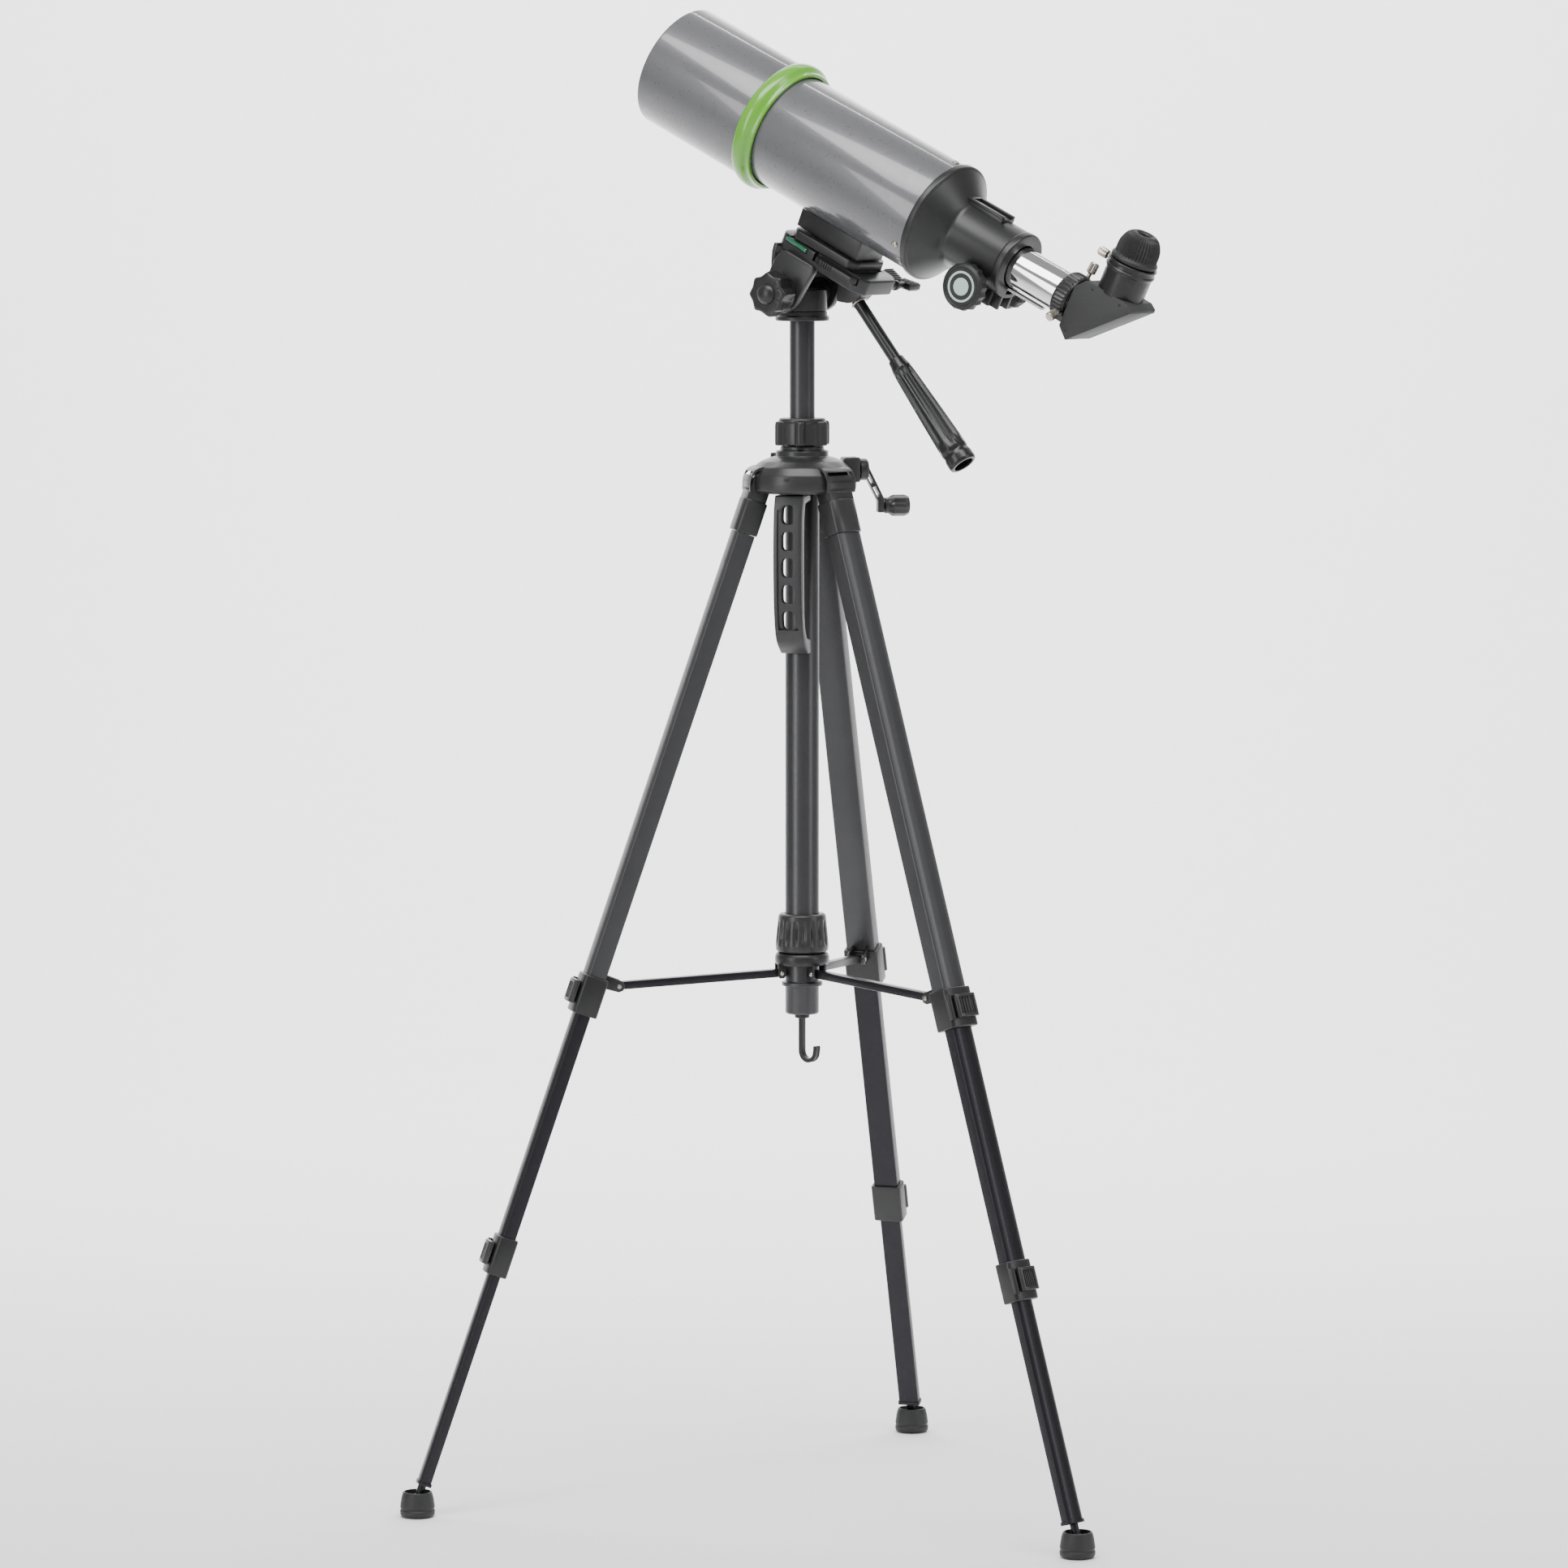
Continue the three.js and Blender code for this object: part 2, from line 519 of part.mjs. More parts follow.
function diagonalHousing() {
  const front = -253.8;
  const top = 25.5;
  const side = sideSlab([[front - 10.7, -28.5], [front, -20], [front, 16], [front - 9, top], [-306, top],
    [-312, 22], [-312, 19]], -DIAGONAL_WIDE / 2, DIAGONAL_WIDE / 2);
  const nose = alongX(rod(15.9, -256, -228, 24));
  const holder = rod(20, top - 2, 51.6, 28).translate(EYE_X, 0, 0);
  const collar = rod(21.4, 45, 53.4, 28).translate(EYE_X, 0, 0);
  const lightWay = alongX(rod(13.6, -276, -220, 24));
  const eyeBore = rod(16.1, 27, 60, 24).translate(EYE_X, 0, 0);
  const eyeWay = rod(13, 6, 30, 24).translate(EYE_X, 0, 0);
  const mirrorRoom = sideSlab([[-303.7, 14.3], [-271.7, -17.7], [-269.7, -15.7], [-266, -12], [-266, 12],
    [-274, 19.5], [-298, 19.5], [-301.7, 16.3]], -15, 15);
  const screwHole = alongX(rod(2.1, 14, 30, 10)).translate(EYE_X, 0, HOLDER_SCREW_Z);
  return cut(join(side, nose, holder, collar), lightWay, eyeBore, eyeWay, mirrorRoom, screwHole);
}

// The mirror: a plate at 45 degrees under the crossing of the two light paths.
function diagonalMirror() {
  return block([-22, -14, -2], [22, 14, 0]).rotateY(rad(45)).translate(EYE_X, 0, 0);
}

function eyepiece() {
  const body = turned([[9, 29], [15.8, 29], [15.8, 53.7], [19.6, 53.7], [20.2, 56], [18.4, 58.5], [18, 62],
    [17.6, 70], [14.8, 76], [10.6, 79.3], [8, 79.6], [5.2, 77], [5.2, 58], [9, 55]], 24);
  return body.translate(EYE_X, 0, 0);
}

function dovetailBlock() {
  const foot = sideSlab([[18, -61.9], [19, -44], [-48, -44], [-49.5, -62.9]], -20, 20);
  return cut(foot, alongX(rod(TUBE_R + GAP, -80, 60, 40)));
}

// ---- assembly -----------------------------------------------------------------------------
const group = new THREE.Group();
const stand = frameAt(group, {});

part(stand, 'outer_tube', outerTube(), 'darkAlloy');
part(stand, 'canopy', canopy(), 'blackPlastic');
part(stand, 'carry_handle', carryHandle().rotateZ(rad(HANDLE_AZIMUTH)), 'blackPlastic');
part(stand, 'centre_column', centreColumn(), 'darkAlloy');
part(stand, 'column_collar', columnCollar(), 'blackPlastic');
part(stand, 'lower_collar', lowerCollar(), 'blackPlastic');
part(stand, 'spreader_hub', spreaderHub(), 'blackPlastic');
part(stand, 'hook', hook(), 'blackPlastic');

const crank = frameAt(stand, { z: CRANK_Z, turn: CRANK_AZIMUTH });
part(crank, 'crank_arm', crankArm(), 'blackPlastic');
part(crank, 'crank_knob', crankKnob(), 'blackPlastic');

for (const [letter, azimuth] of Object.entries(LEG_AZIMUTHS)) buildLeg(stand, letter, azimuth);

part(stand, 'pan_base', panBase(), 'blackPlastic');
part(stand, 'tilt_body', tiltBody(), 'blackPlastic');

const tilt = frameAt(stand, { z: TILT_Z, lean: -ELEVATION });
part(tilt, 'head_platform', headPlatform(), 'blackPlastic');
part(tilt, 'release_plate', releasePlate(), 'blackPlastic');
part(tilt, 'release_lever', releaseLever(), 'blackPlastic');
part(tilt, 'side_knob', sideKnob(), 'softBlack');

const handle = frameAt(tilt, { x: HANDLE_ROOT[0], z: HANDLE_ROOT[2], lean: -90 - HANDLE_DROP });
part(handle, 'pan_handle_rod', handleRod(), 'blackPlastic');
part(handle, 'pan_handle_grip', handleGrip(), 'softBlack');

const tube = frameAt(tilt, { z: AXIS_ABOVE_TILT });
part(tube, 'dew_shield', dewShield(), 'greyPaint');
part(tube, 'trim_ring', trimRing(), 'greenPlastic');
part(tube, 'main_tube', mainTube(), 'greyPaint');
part(tube, 'lens_cell', lensCell(), 'blackPlastic');
part(tube, 'objective_lens', objectiveLens(), 'glass');
part(tube, 'dovetail_block', dovetailBlock(), 'blackPlastic');
part(tube, 'focuser_housing', focuserHousing(), 'blackPlastic');
part(tube, 'drawtube', drawtube(), 'chrome');
part(tube, 'focus_shaft', focusShaft(), 'nickel');
part(tube, 'focus_knob_left', focusKnob(1), 'softBlack');
part(tube, 'focus_knob_right', focusKnob(-1), 'softBlack');
part(tube, 'clamp_ring', clampRing(), 'blackPlastic');
SCREW_TURNS.forEach((turn, i) => {
  const screw = thumbscrew(8).translate(SCREW_X, 0, 16.8).rotateX(rad(turn));
  part(tube, `ring_screw_${i + 1}`, screw, 'nickel');
});
part(tube, 'diagonal_housing', diagonalHousing(), 'blackPlastic');
part(tube, 'diagonal_mirror', diagonalMirror(), 'glass');
part(tube, 'eyepiece', eyepiece(), 'softBlack');
const holderScrew = thumbscrew(7).rotateY(rad(90)).translate(EYE_X + 16.9, 0, HOLDER_SCREW_Z);
part(tube, 'holder_screw', holderScrew, 'nickel');

group.updateMatrixWorld(true);
const bounds = new THREE.Box3().setFromObject(group, true);
const centre = bounds.getCenter(new THREE.Vector3());
stand.position.set(-centre.x, -centre.y, -bounds.min.z);

export default group;
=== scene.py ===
# %% [markdown]
# # A small refractor telescope on a folding tripod
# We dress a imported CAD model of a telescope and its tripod. The CAD gives the places, the sizes and the
# joints; this script makes each piece's fine shape and its finish, and lets it ride on the body that moves
# it. Everything is in metres in the CAD frame, but the shapes are drawn in millimetres and brought over by
# a matrix.

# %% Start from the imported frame
import json
import math
import bmesh
import bpy
from mathutils import Matrix, Vector


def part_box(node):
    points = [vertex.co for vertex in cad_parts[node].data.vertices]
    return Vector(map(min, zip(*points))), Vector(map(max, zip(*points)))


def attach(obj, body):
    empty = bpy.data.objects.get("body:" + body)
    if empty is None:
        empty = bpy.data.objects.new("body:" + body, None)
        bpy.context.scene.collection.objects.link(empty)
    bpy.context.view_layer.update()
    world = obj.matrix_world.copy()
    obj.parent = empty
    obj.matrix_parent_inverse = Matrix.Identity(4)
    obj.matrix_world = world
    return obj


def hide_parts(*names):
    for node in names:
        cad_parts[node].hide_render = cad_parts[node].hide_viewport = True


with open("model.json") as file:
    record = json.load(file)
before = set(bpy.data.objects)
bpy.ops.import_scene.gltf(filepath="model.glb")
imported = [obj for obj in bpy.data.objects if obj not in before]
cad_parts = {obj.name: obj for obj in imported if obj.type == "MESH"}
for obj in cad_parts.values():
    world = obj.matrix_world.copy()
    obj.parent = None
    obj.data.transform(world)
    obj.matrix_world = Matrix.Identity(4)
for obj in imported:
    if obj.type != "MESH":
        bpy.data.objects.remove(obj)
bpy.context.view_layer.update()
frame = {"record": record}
MM = 0.001
joints = {joint["name"]: joint for joint in frame["record"]["behaviour"]["joints"]}

# %% [markdown]
# ## Local frames
# A maker measures each piece from its own datum: the tube from its optical axis, a leg from its pivot. We
# build one matrix for each datum out of the joints' places and axes, so nothing here is fitted by eye.

# %% Local frames taken from the joints
def local_frame(origin, x_axis, y_axis, z_axis):
    columns = Matrix((x_axis, y_axis, z_axis)).transposed().to_4x4()
    return Matrix.Translation(origin) @ columns @ Matrix.Scale(MM, 4)


def joint_point(name):
    return Vector(joints[name]["pos_m"])


def joint_axis(name):
    return Vector(joints[name]["axis"]).normalized()


column_low, column_high = (Vector(corner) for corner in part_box("outer_tube"))
column_spot = (column_low + column_high) / 2
UP = Vector((0, 0, 1))
EAST = Vector((1, 0, 0))
NORTH = Vector((0, 1, 0))
STAND = local_frame((column_spot.x, column_spot.y, 0), EAST, NORTH, UP)

tube_forward = -joint_axis("focus_travel")
tube_up = joint_axis("plate_lift_off")
TUBE_AXIS_HEIGHT = 117.4
TILT = local_frame(joint_point("tilt"), tube_forward, NORTH, tube_up)
TUBE = TILT @ Matrix.Translation((0, 0, TUBE_AXIS_HEIGHT))
SWIVEL = local_frame(joint_point("tilt"), EAST, NORTH, UP)


def leg_frame(letter):
    across = joint_axis(f"leg_{letter}_fold")
    up_leg = -joint_axis(f"leg_{letter}_middle_slide")
    return local_frame(joint_point(f"leg_{letter}_fold"), across.cross(up_leg), across, up_leg)


def leg_plane(letter):
    across = joint_axis(f"leg_{letter}_fold")
    return local_frame((column_spot.x, column_spot.y, 0), across.cross(UP), across, UP)


print("column stands at", [round(v, 4) for v in column_spot[:2]])

# %% [markdown]
# ## Finishes
# Each finish starts from what the real one is. Two helpers do all the node work: one turns a hex colour to
# linear light, the other adds a node with its settings and links. Numbers that are the same all over the
# surface are set on the shader's own sockets.

# %% Colour and node helpers
def linear(code):
    channels = [int(code[i:i + 2], 16) / 255 for i in (1, 3, 5)]
    return [c / 12.92 if c <= 0.04045 else ((c + 0.055) / 1.055) ** 2.4 for c in channels] + [1.0]


def add(tree, kind, settings=None, inputs=None):
    node = tree.nodes.new(kind)
    for key, value in (settings or {}).items():
        setattr(node, key, value)
    for key, value in (inputs or {}).items():
        if isinstance(value, bpy.types.NodeSocket):
            tree.links.new(value, node.inputs[key])
        else:
            node.inputs[key].default_value = value
    return node


# %% [markdown]
# Most surfaces share one recipe: a soft cloud pattern shifts the colour a little, a finer grain roughens
# the shine, and the same grain lifts the surface by a hundredth of a millimetre or so. The pattern's size
# is the real size of the moulding texture or the blasting, drawn somewhat coarser than life so that it
# shows. Polished and painted skins are smooth to the hand, so those finishes have no lift at all.

# %% One recipe for moulded, painted and anodised surfaces
def finish(name, colour, shade, roughness, spread, grain_mm, lift_mm, shader=None, cloud_mm=40):
    material = bpy.data.materials.new(name)
    material.use_nodes = True
    material.diffuse_color = linear(colour)
    tree = material.node_tree
    surface = tree.nodes["Principled BSDF"]
    for key, value in (shader or {}).items():
        surface.inputs[key].default_value = value
    place = add(tree, "ShaderNodeTexCoord")
    cloud = add(tree, "ShaderNodeTexNoise", None, {
        "Vector": place.outputs["Object"], "Scale": 1 / (cloud_mm * MM), "Detail": 4.0, "Roughness": 0.55})
    grain = add(tree, "ShaderNodeTexNoise", None, {
        "Vector": place.outputs["Object"], "Scale": 1 / (grain_mm * MM), "Detail": 3.0, "Roughness": 0.6})
    tone = add(tree, "ShaderNodeMix", {"data_type": "RGBA"}, {
        0: cloud.outputs["Fac"], 6: linear(colour), 7: linear(shade)})
    shine = add(tree, "ShaderNodeMapRange", None, {
        "Value": grain.outputs["Fac"], "From Min": 0.3, "From Max": 0.7,
        "To Min": roughness - spread, "To Max": roughness + spread})
    tree.links.new(tone.outputs[2], surface.inputs["Base Color"])
    tree.links.new(shine.outputs["Result"], surface.inputs["Roughness"])
    if lift_mm:
        bump = add(tree, "ShaderNodeBump", None, {
            "Height": grain.outputs["Fac"], "Distance": lift_mm * MM, "Strength": 0.6})
        tree.links.new(bump.outputs["Normal"], surface.inputs["Normal"])
    return material


# Grey enamel over aluminium, sprayed and clear-coated: an even mid grey with a long clean highlight.
grey_enamel = finish("grey_enamel", "#67676A", "#606063", 0.30, 0.04, 6.0, 0,
                     {"Metallic": 0.25, "Coat Weight": 0.8, "Coat Roughness": 0.08})
# Gloss green ABS trim, moulded in a polished tool: saturated, bright rim light.
green_abs = finish("green_abs", "#62A82A", "#5C9F26", 0.24, 0.03, 4.0, 0,
                   {"Coat Weight": 0.5, "Coat Roughness": 0.06})
# Black ABS with a fine spark-eroded texture: the tripod's castings and the focuser.
black_abs = finish("black_abs", "#1C1C1D", "#171718", 0.36, 0.05, 0.9, 0.014)
# Smoother black moulding, on the eyepiece holder and the pan handle.
satin_black = finish("satin_black", "#151516", "#111112", 0.30, 0.03, 3.0, 0.002)
# Dark grey moulding of the canopy, the head, the yokes and the flip levers.
slate_abs = finish("slate_abs", "#29292A", "#242425", 0.34, 0.05, 1.0, 0.012)
# The diagonal is moulded in a coarser, duller black that shows no clear reflection.
matt_abs = finish("matt_abs", "#2C2C2D", "#272728", 0.62, 0.05, 0.8, 0.02)
# Matt rubber of the feet and the knob rims.
black_rubber = finish("black_rubber", "#1D1D1E", "#181819", 0.55, 0.06, 1.2, 0.02)
# Drawn aluminium, blasted and anodised grey: the upper leg tubes and the column.
grey_anodised = finish("grey_anodised", "#4E4E50", "#484849", 0.36, 0.05, 1.6, 0.006, {"Metallic": 0.75})
# The same alloy anodised black: the lower leg tubes and the spreader arms.
black_anodised = finish("black_anodised", "#2B2A2F", "#262529", 0.32, 0.05, 1.6, 0.006, {"Metallic": 0.7})
# Bright chrome plating on the drawtube.
chrome_plate = finish("chrome_plate", "#E4E4E2", "#DEDEDC", 0.06, 0.015, 12.0, 0, {"Metallic": 1.0})
# Nickel-plated steel of the thumbscrews, rivets and cross-head screws.
nickel_steel = finish("nickel_steel", "#C2BAAE", "#AFA79C", 0.26, 0.05, 0.8, 0.01, {"Metallic": 1.0})
# Blackened steel of the small cover screws: dark, with only a glint in the cross slot.
black_steel = finish("black_steel", "#4A4744", "#3F3C3A", 0.34, 0.05, 0.8, 0.008, {"Metallic": 1.0})
# Natural nylon of the toothed rack: pale and slightly waxy.
pale_nylon = finish("pale_nylon", "#D9D9D6", "#CFCFCB", 0.40, 0.05, 1.0, 0.01)
# Pale printed emblem on the focus knob.
pale_print = finish("pale_print", "#B9CFC6", "#AFC6BC", 0.50, 0.05, 1.0, 0.005)
# Green spirit in the level, seen through its clear wall.
level_spirit = finish("level_spirit", "#1E6B4A", "#185A3E", 0.12, 0.02, 3.0, 0.001, {"Coat Weight": 1.0})
# Coated crown glass of the objective: dark green-violet, and glassy.
coated_glass = finish("coated_glass", "#24332F", "#2B2A3A", 0.05, 0.01, 9.0, 0,
                      {"Coat Weight": 1.0, "Specular IOR Level": 0.7}, cloud_mm=60)
# Silvered mirror in the diagonal.
silvered = finish("silvered", "#E6E8E8", "#DDE0E0", 0.04, 0.01, 9.0, 0, {"Metallic": 1.0})
print("finishes", len(bpy.data.materials))

# %% [markdown]
# ## Shaping helpers
# Nearly everything here was turned, extruded or moulded, so a few moves cover it. A turned piece starts as
# a line of points that bmesh spins round an axis. Corners are never knife-sharp on a real piece, so the
# profile's corners are rounded first, which is cheaper and cleaner than bevelling the finished ring.

# %% Rounded profiles, turned and extruded pieces
def rounded(points, radius, closed=True, arc_steps=3):
    result = []
    count = len(points)
    for i, point in enumerate(points):
        here = Vector(point)
        before = Vector(points[i - 1])
        after = Vector(points[(i + 1) % count])
        ends = not closed and i in (0, count - 1)
        reach = min(radius, (before - here).length * 0.45, (after - here).length * 0.45)
        if ends or reach < 0.01:
            result.append(here)
            continue
        start = here + (before - here).normalized() * reach
        stop = here + (after - here).normalized() * reach
        for step in range(arc_steps + 1):
            t = step / arc_steps
            result.append(start * (1 - t) ** 2 + here * 2 * t * (1 - t) + stop * t ** 2)
    return result


def turned(points, radius=0.5, steps=72, closed=True):
    shape = bmesh.new()
    ring = [shape.verts.new((p.x, 0, p.y)) for p in rounded(points, radius, closed)]
    edges = [shape.edges.new(pair) for pair in zip(ring, ring[1:])]
    if closed:
        edges.append(shape.edges.new((ring[-1], ring[0])))
    bmesh.ops.spin(shape, geom=ring + edges, cent=(0, 0, 0), axis=(0, 0, 1),
                   angle=2 * math.pi, steps=steps, use_merge=True)
    bmesh.ops.remove_doubles(shape, verts=shape.verts, dist=1e-4)
    bmesh.ops.recalc_face_normals(shape, faces=shape.faces)
    return shape


def rod(radius, low, high, edge, steps):
    return turned([(0, low), (radius, low), (radius, high), (0, high)], edge, steps, closed=False)


def pipe(inner, outer, low, high, edge, steps):
    return turned([(inner, low), (outer, low), (outer, high), (inner, high)], edge, steps)


def extruded(outline, low, high, edge=0.6, segments=2):
    shape = bmesh.new()
    floor = shape.faces.new([shape.verts.new((x, y, low)) for x, y in outline])
    raised = bmesh.ops.extrude_face_region(shape, geom=[floor])
    tops = [item for item in raised["geom"] if isinstance(item, bmesh.types.BMVert)]
    bmesh.ops.translate(shape, verts=tops, vec=(0, 0, high - low))
    bmesh.ops.recalc_face_normals(shape, faces=shape.faces)
    if edge:
        sharp = [e for e in shape.edges if e.calc_face_angle(0) > 0.5]
        bmesh.ops.bevel(shape, geom=sharp, offset=edge, affect="EDGES", segments=segments,
                        profile=0.5, material=-1, clamp_overlap=True)
    return shape


# The same, with only its two flat ends softened.
def soft_ended(outline, low, high, edge):
    shape = extruded(outline, low, high, 0)
    rims = [e for e in shape.edges if abs(e.verts[0].co.z - e.verts[1].co.z) < 1e-4]
    bmesh.ops.bevel(shape, geom=rims, offset=edge, affect="EDGES", segments=3, profile=0.5, material=-1)
    return shape


def block(low, high, edge=0.5, segments=2):
    outline = [(low[0], low[1]), (high[0], low[1]), (high[0], high[1]), (low[0], high[1])]
    return extruded(outline, low[2], high[2], edge, segments)


# A long taper gets extra points along it, so that flutes pressed into it stay smooth.
def dense(points, step=3.0):
    line = []
    for here, after in zip(points, points[1:]):
        parts = max(1, int(math.hypot(after[0] - here[0], after[1] - here[1]) / step))
        line += [(here[0] + (after[0] - here[0]) * i / parts, here[1] + (after[1] - here[1]) * i / parts)
                 for i in range(parts)]
    return line + [points[-1]]


def moved(shape, *matrices):
    for matrix in matrices:
        bmesh.ops.transform(shape, matrix=matrix, verts=shape.verts)
    return shape


def turn(axis, degrees):
    return Matrix.Rotation(math.radians(degrees), 4, axis)


def shift(x, y, z):
    return Matrix.Translation((x, y, z))


ALONG_X = turn("Y", 90)
ALONG_Y = turn("X", -90)
OUTLINE_XZ = turn("X", 90)


def side_cut(outline, low, high, edge=0.6, segments=2):
    return moved(extruded(outline, -high, -low, edge, segments), OUTLINE_XZ)


def together(*shapes):
    whole = bmesh.new()
    for shape in shapes:
        spare = bpy.data.meshes.new("spare")
        shape.to_mesh(spare)
        whole.from_mesh(spare)
        bpy.data.meshes.remove(spare)
        shape.free()
    return whole


# %% [markdown]
# Slots and sockets are cut with the Boolean modifier. Each shape goes into a short-lived object, the cut is
# evaluated, and the result comes back as a bmesh, so no modifier is left on the finished piece.

# %% Cutting one shape with others
def carved(shape, *cutters):
    def wrap(source, label):
        mesh = bpy.data.meshes.new(label)
        source.to_mesh(mesh)
        source.free()
        holder = bpy.data.objects.new(label, mesh)
        bpy.context.scene.collection.objects.link(holder)
        return holder

    body = wrap(shape, "carve_body")
    tools = [wrap(cutter, "carve_tool") for cutter in cutters]
    for tool in tools:
        change = body.modifiers.new("cut", "BOOLEAN")
        change.operation = "DIFFERENCE"
        change.solver = "EXACT"
        change.object = tool
    evaluated = body.evaluated_get(bpy.context.evaluated_depsgraph_get())
    result = bmesh.new()
    result.from_mesh(evaluated.to_mesh())
    evaluated.to_mesh_clear()
    for holder in [body] + tools:
        mesh = holder.data
        bpy.data.objects.remove(holder)
        bpy.data.meshes.remove(mesh)
    return result


# %% [markdown]
# A finished piece is a mesh object at the origin with its place in its mesh. This function also shades it,
# keeps real edges crisp, gives it its finish, and hangs it under an empty for the body that carries it.

# %% Finishing a piece
made = []


def piece(name, shape, place, material, body, slot, *stands_for):
    bmesh.ops.transform(shape, matrix=place, verts=shape.verts)
    mesh = bpy.data.meshes.new(name)
    shape.to_mesh(mesh)
    shape.free()
    mesh.shade_smooth()
    mesh.set_sharp_from_angle(angle=math.radians(32))
    mesh.materials.append(material)
    thing = bpy.data.objects.new(name, mesh)
    bpy.context.scene.collection.objects.link(thing)
    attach(thing, body)
    if stands_for:
        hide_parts(*stands_for)
    made.append(thing)


# %% [markdown]
# Grips are moulded with ribs or flutes. Rather than model every rib, the grip is turned with many sides and
# its skin is pushed in between the ribs: a plain wave of the angle, faded out towards both ends.

# %% Flutes pressed into a turned grip
def fluted(shape, count, depth, low, high, fade, least_radius=0.0, sharpness=1.0, steep=1.0):
    for vert in shape.verts:
        radius = math.hypot(vert.co.x, vert.co.y)
        if radius < least_radius or not low <= vert.co.z <= high:
            continue
        angle = math.atan2(vert.co.y, vert.co.x)
        wave = min(1.0, steep * (0.5 - 0.5 * math.cos(count * angle))) ** sharpness
        ends = min(1.0, (vert.co.z - low) / fade, (high - vert.co.z) / fade)
        scale = 1 - depth * wave * max(0.0, ends) / radius
        vert.co.x *= scale
        vert.co.y *= scale
    return shape


def cross_screw(head_radius, head_height):
    head = turned([(0, -1.5), (head_radius, -1.5), (head_radius, head_height * 0.5),
                   (head_radius * 0.6, head_height), (0, head_height)], 0.3, 24, closed=False)
    slots = []
    for angle in (0, 90):
        slot = block((-head_radius * 0.6, -head_radius * 0.12, head_height * 0.35),
                     (head_radius * 0.6, head_radius * 0.12, head_height + 1), 0)
        slots.append(moved(slot, turn("Z", angle)))
    return carved(head, *slots)


def thumbscrew(stem, head, radius):
    shaft = turned([(0, 0), (1.8, 0), (1.8, stem), (radius * 0.75, stem + 0.5), (radius, stem + 1.2),
                    (radius, stem + head - 1), (radius - 0.8, stem + head), (0, stem + head)], 0.25, 48,
                   closed=False)
    return fluted(shaft, 24, 0.35, stem + 1, stem + head - 0.8, 0.6, radius * 0.9)


# A tube of any outline: an outer and an inner loop with as many points each, walled and capped.
def walled(outer, inner, low, high):
    shape = bmesh.new()
    loops = [[shape.verts.new((p[0], p[1], z)) for p in line]
             for line, z in ((outer, low), (outer, high), (inner, high), (inner, low))]
    count = len(outer)
    for one, two in zip(loops, loops[1:] + loops[:1]):
        for i in range(count):
            j = (i + 1) % count
            shape.faces.new((one[i], one[j], two[j], two[i]))
    bmesh.ops.recalc_face_normals(shape, faces=shape.faces)
    return shape


# A bar of one section carried along a line of points, with closed ends.
def swept(line, section, side):
    shape = bmesh.new()
    rings = []
    for i, point in enumerate(line):
        ahead = (line[min(i + 1, len(line) - 1)] - line[max(i - 1, 0)]).normalized()
        out = side.cross(ahead)
        rings.append([shape.verts.new(point + out * a + side * b) for a, b in section])
    for one, two in zip(rings, rings[1:]):
        for i in range(len(section)):
            j = (i + 1) % len(section)
            shape.faces.new((one[i], one[j], two[j], two[i]))
    shape.faces.new(rings[0])
    shape.faces.new(list(reversed(rings[-1])))
    bmesh.ops.recalc_face_normals(shape, faces=shape.faces)
    return shape


print("shaping helpers ready")

# %% [markdown]
# ## Column, collar and canopy
# The column is drawn tube, so it is one turned wall with broken edges. The collar that clamps it is moulded
# with six rounded lobes to grip: a turned ring whose skin is pushed in between the lobes.

# %% Column and clamping collar
def column_pieces():
    inner = pipe(9, 10.7, 560, 1014.7, 0.4, 64)
    piece("column_tube", inner, STAND, grey_anodised, "column", "dark_alloy", "centre_column")
    outer = turned([(11.9, 422.5), (13.6, 422.5), (14.4, 424), (14.4, 446), (17.4, 446.8), (17.4, 449.8),
                    (14.4, 450.5), (14.4, 886), (11.9, 886)], 0.5, 64)
    piece("outer_column_tube", outer, STAND, grey_anodised, "stand", "dark_alloy", "outer_tube")


def column_collar():
    lobes = turned([(11.3, 909.4), (25.2, 909.4), (25.4, 912), (25.4, 927), (24.6, 929.8), (11.3, 929.8)],
                   1.2, 180)
    fluted(lobes, 6, 5.2, 900, 940, 0.1, 22, 1.0, 2.6)
    crown = turned([(11.3, 929), (20, 929), (20, 931), (19, 932.4), (11.3, 932.4)], 0.5, 72)
    piece("column_collar_grip", together(lobes, crown), STAND, slate_abs, "column_collar",
          "black_plastic", "column_collar")


column_pieces()
column_collar()

# %% [markdown]
# The canopy is one moulding: a low dome, a stepped neck, and three arches that clear the leg yokes. We turn
# the dome and cut the arches with blocks, which leaves a tongue between each pair of legs, each with its
# screw.

# %% Canopy
LEG_LETTERS = ("a", "b", "c")
ROUND_LEVEL_TURN = 147.6 - 160


def leg_angle(letter):
    across = joint_axis(f"leg_{letter}_fold")
    return math.degrees(math.atan2(-across.x, across.y))


def crank_angle():
    axis = joint_axis("crank_turn")
    return math.degrees(math.atan2(axis.y, axis.x))


def arch(angle):
    return moved(block((21.6, -13.3, 860), (47.2, 13.3, 887.9), 0), turn("Z", angle))


def side_arch(angle):
    angles = [i * math.pi / 16 for i in range(17)]
    round_top = [(37.4 + 11.2 * math.cos(a), 878 + 11.2 * math.sin(a)) for a in angles]
    return moved(side_cut([(48.6, 860)] + round_top + [(26.2, 860)], -22, 22, 0), turn("Z", angle))


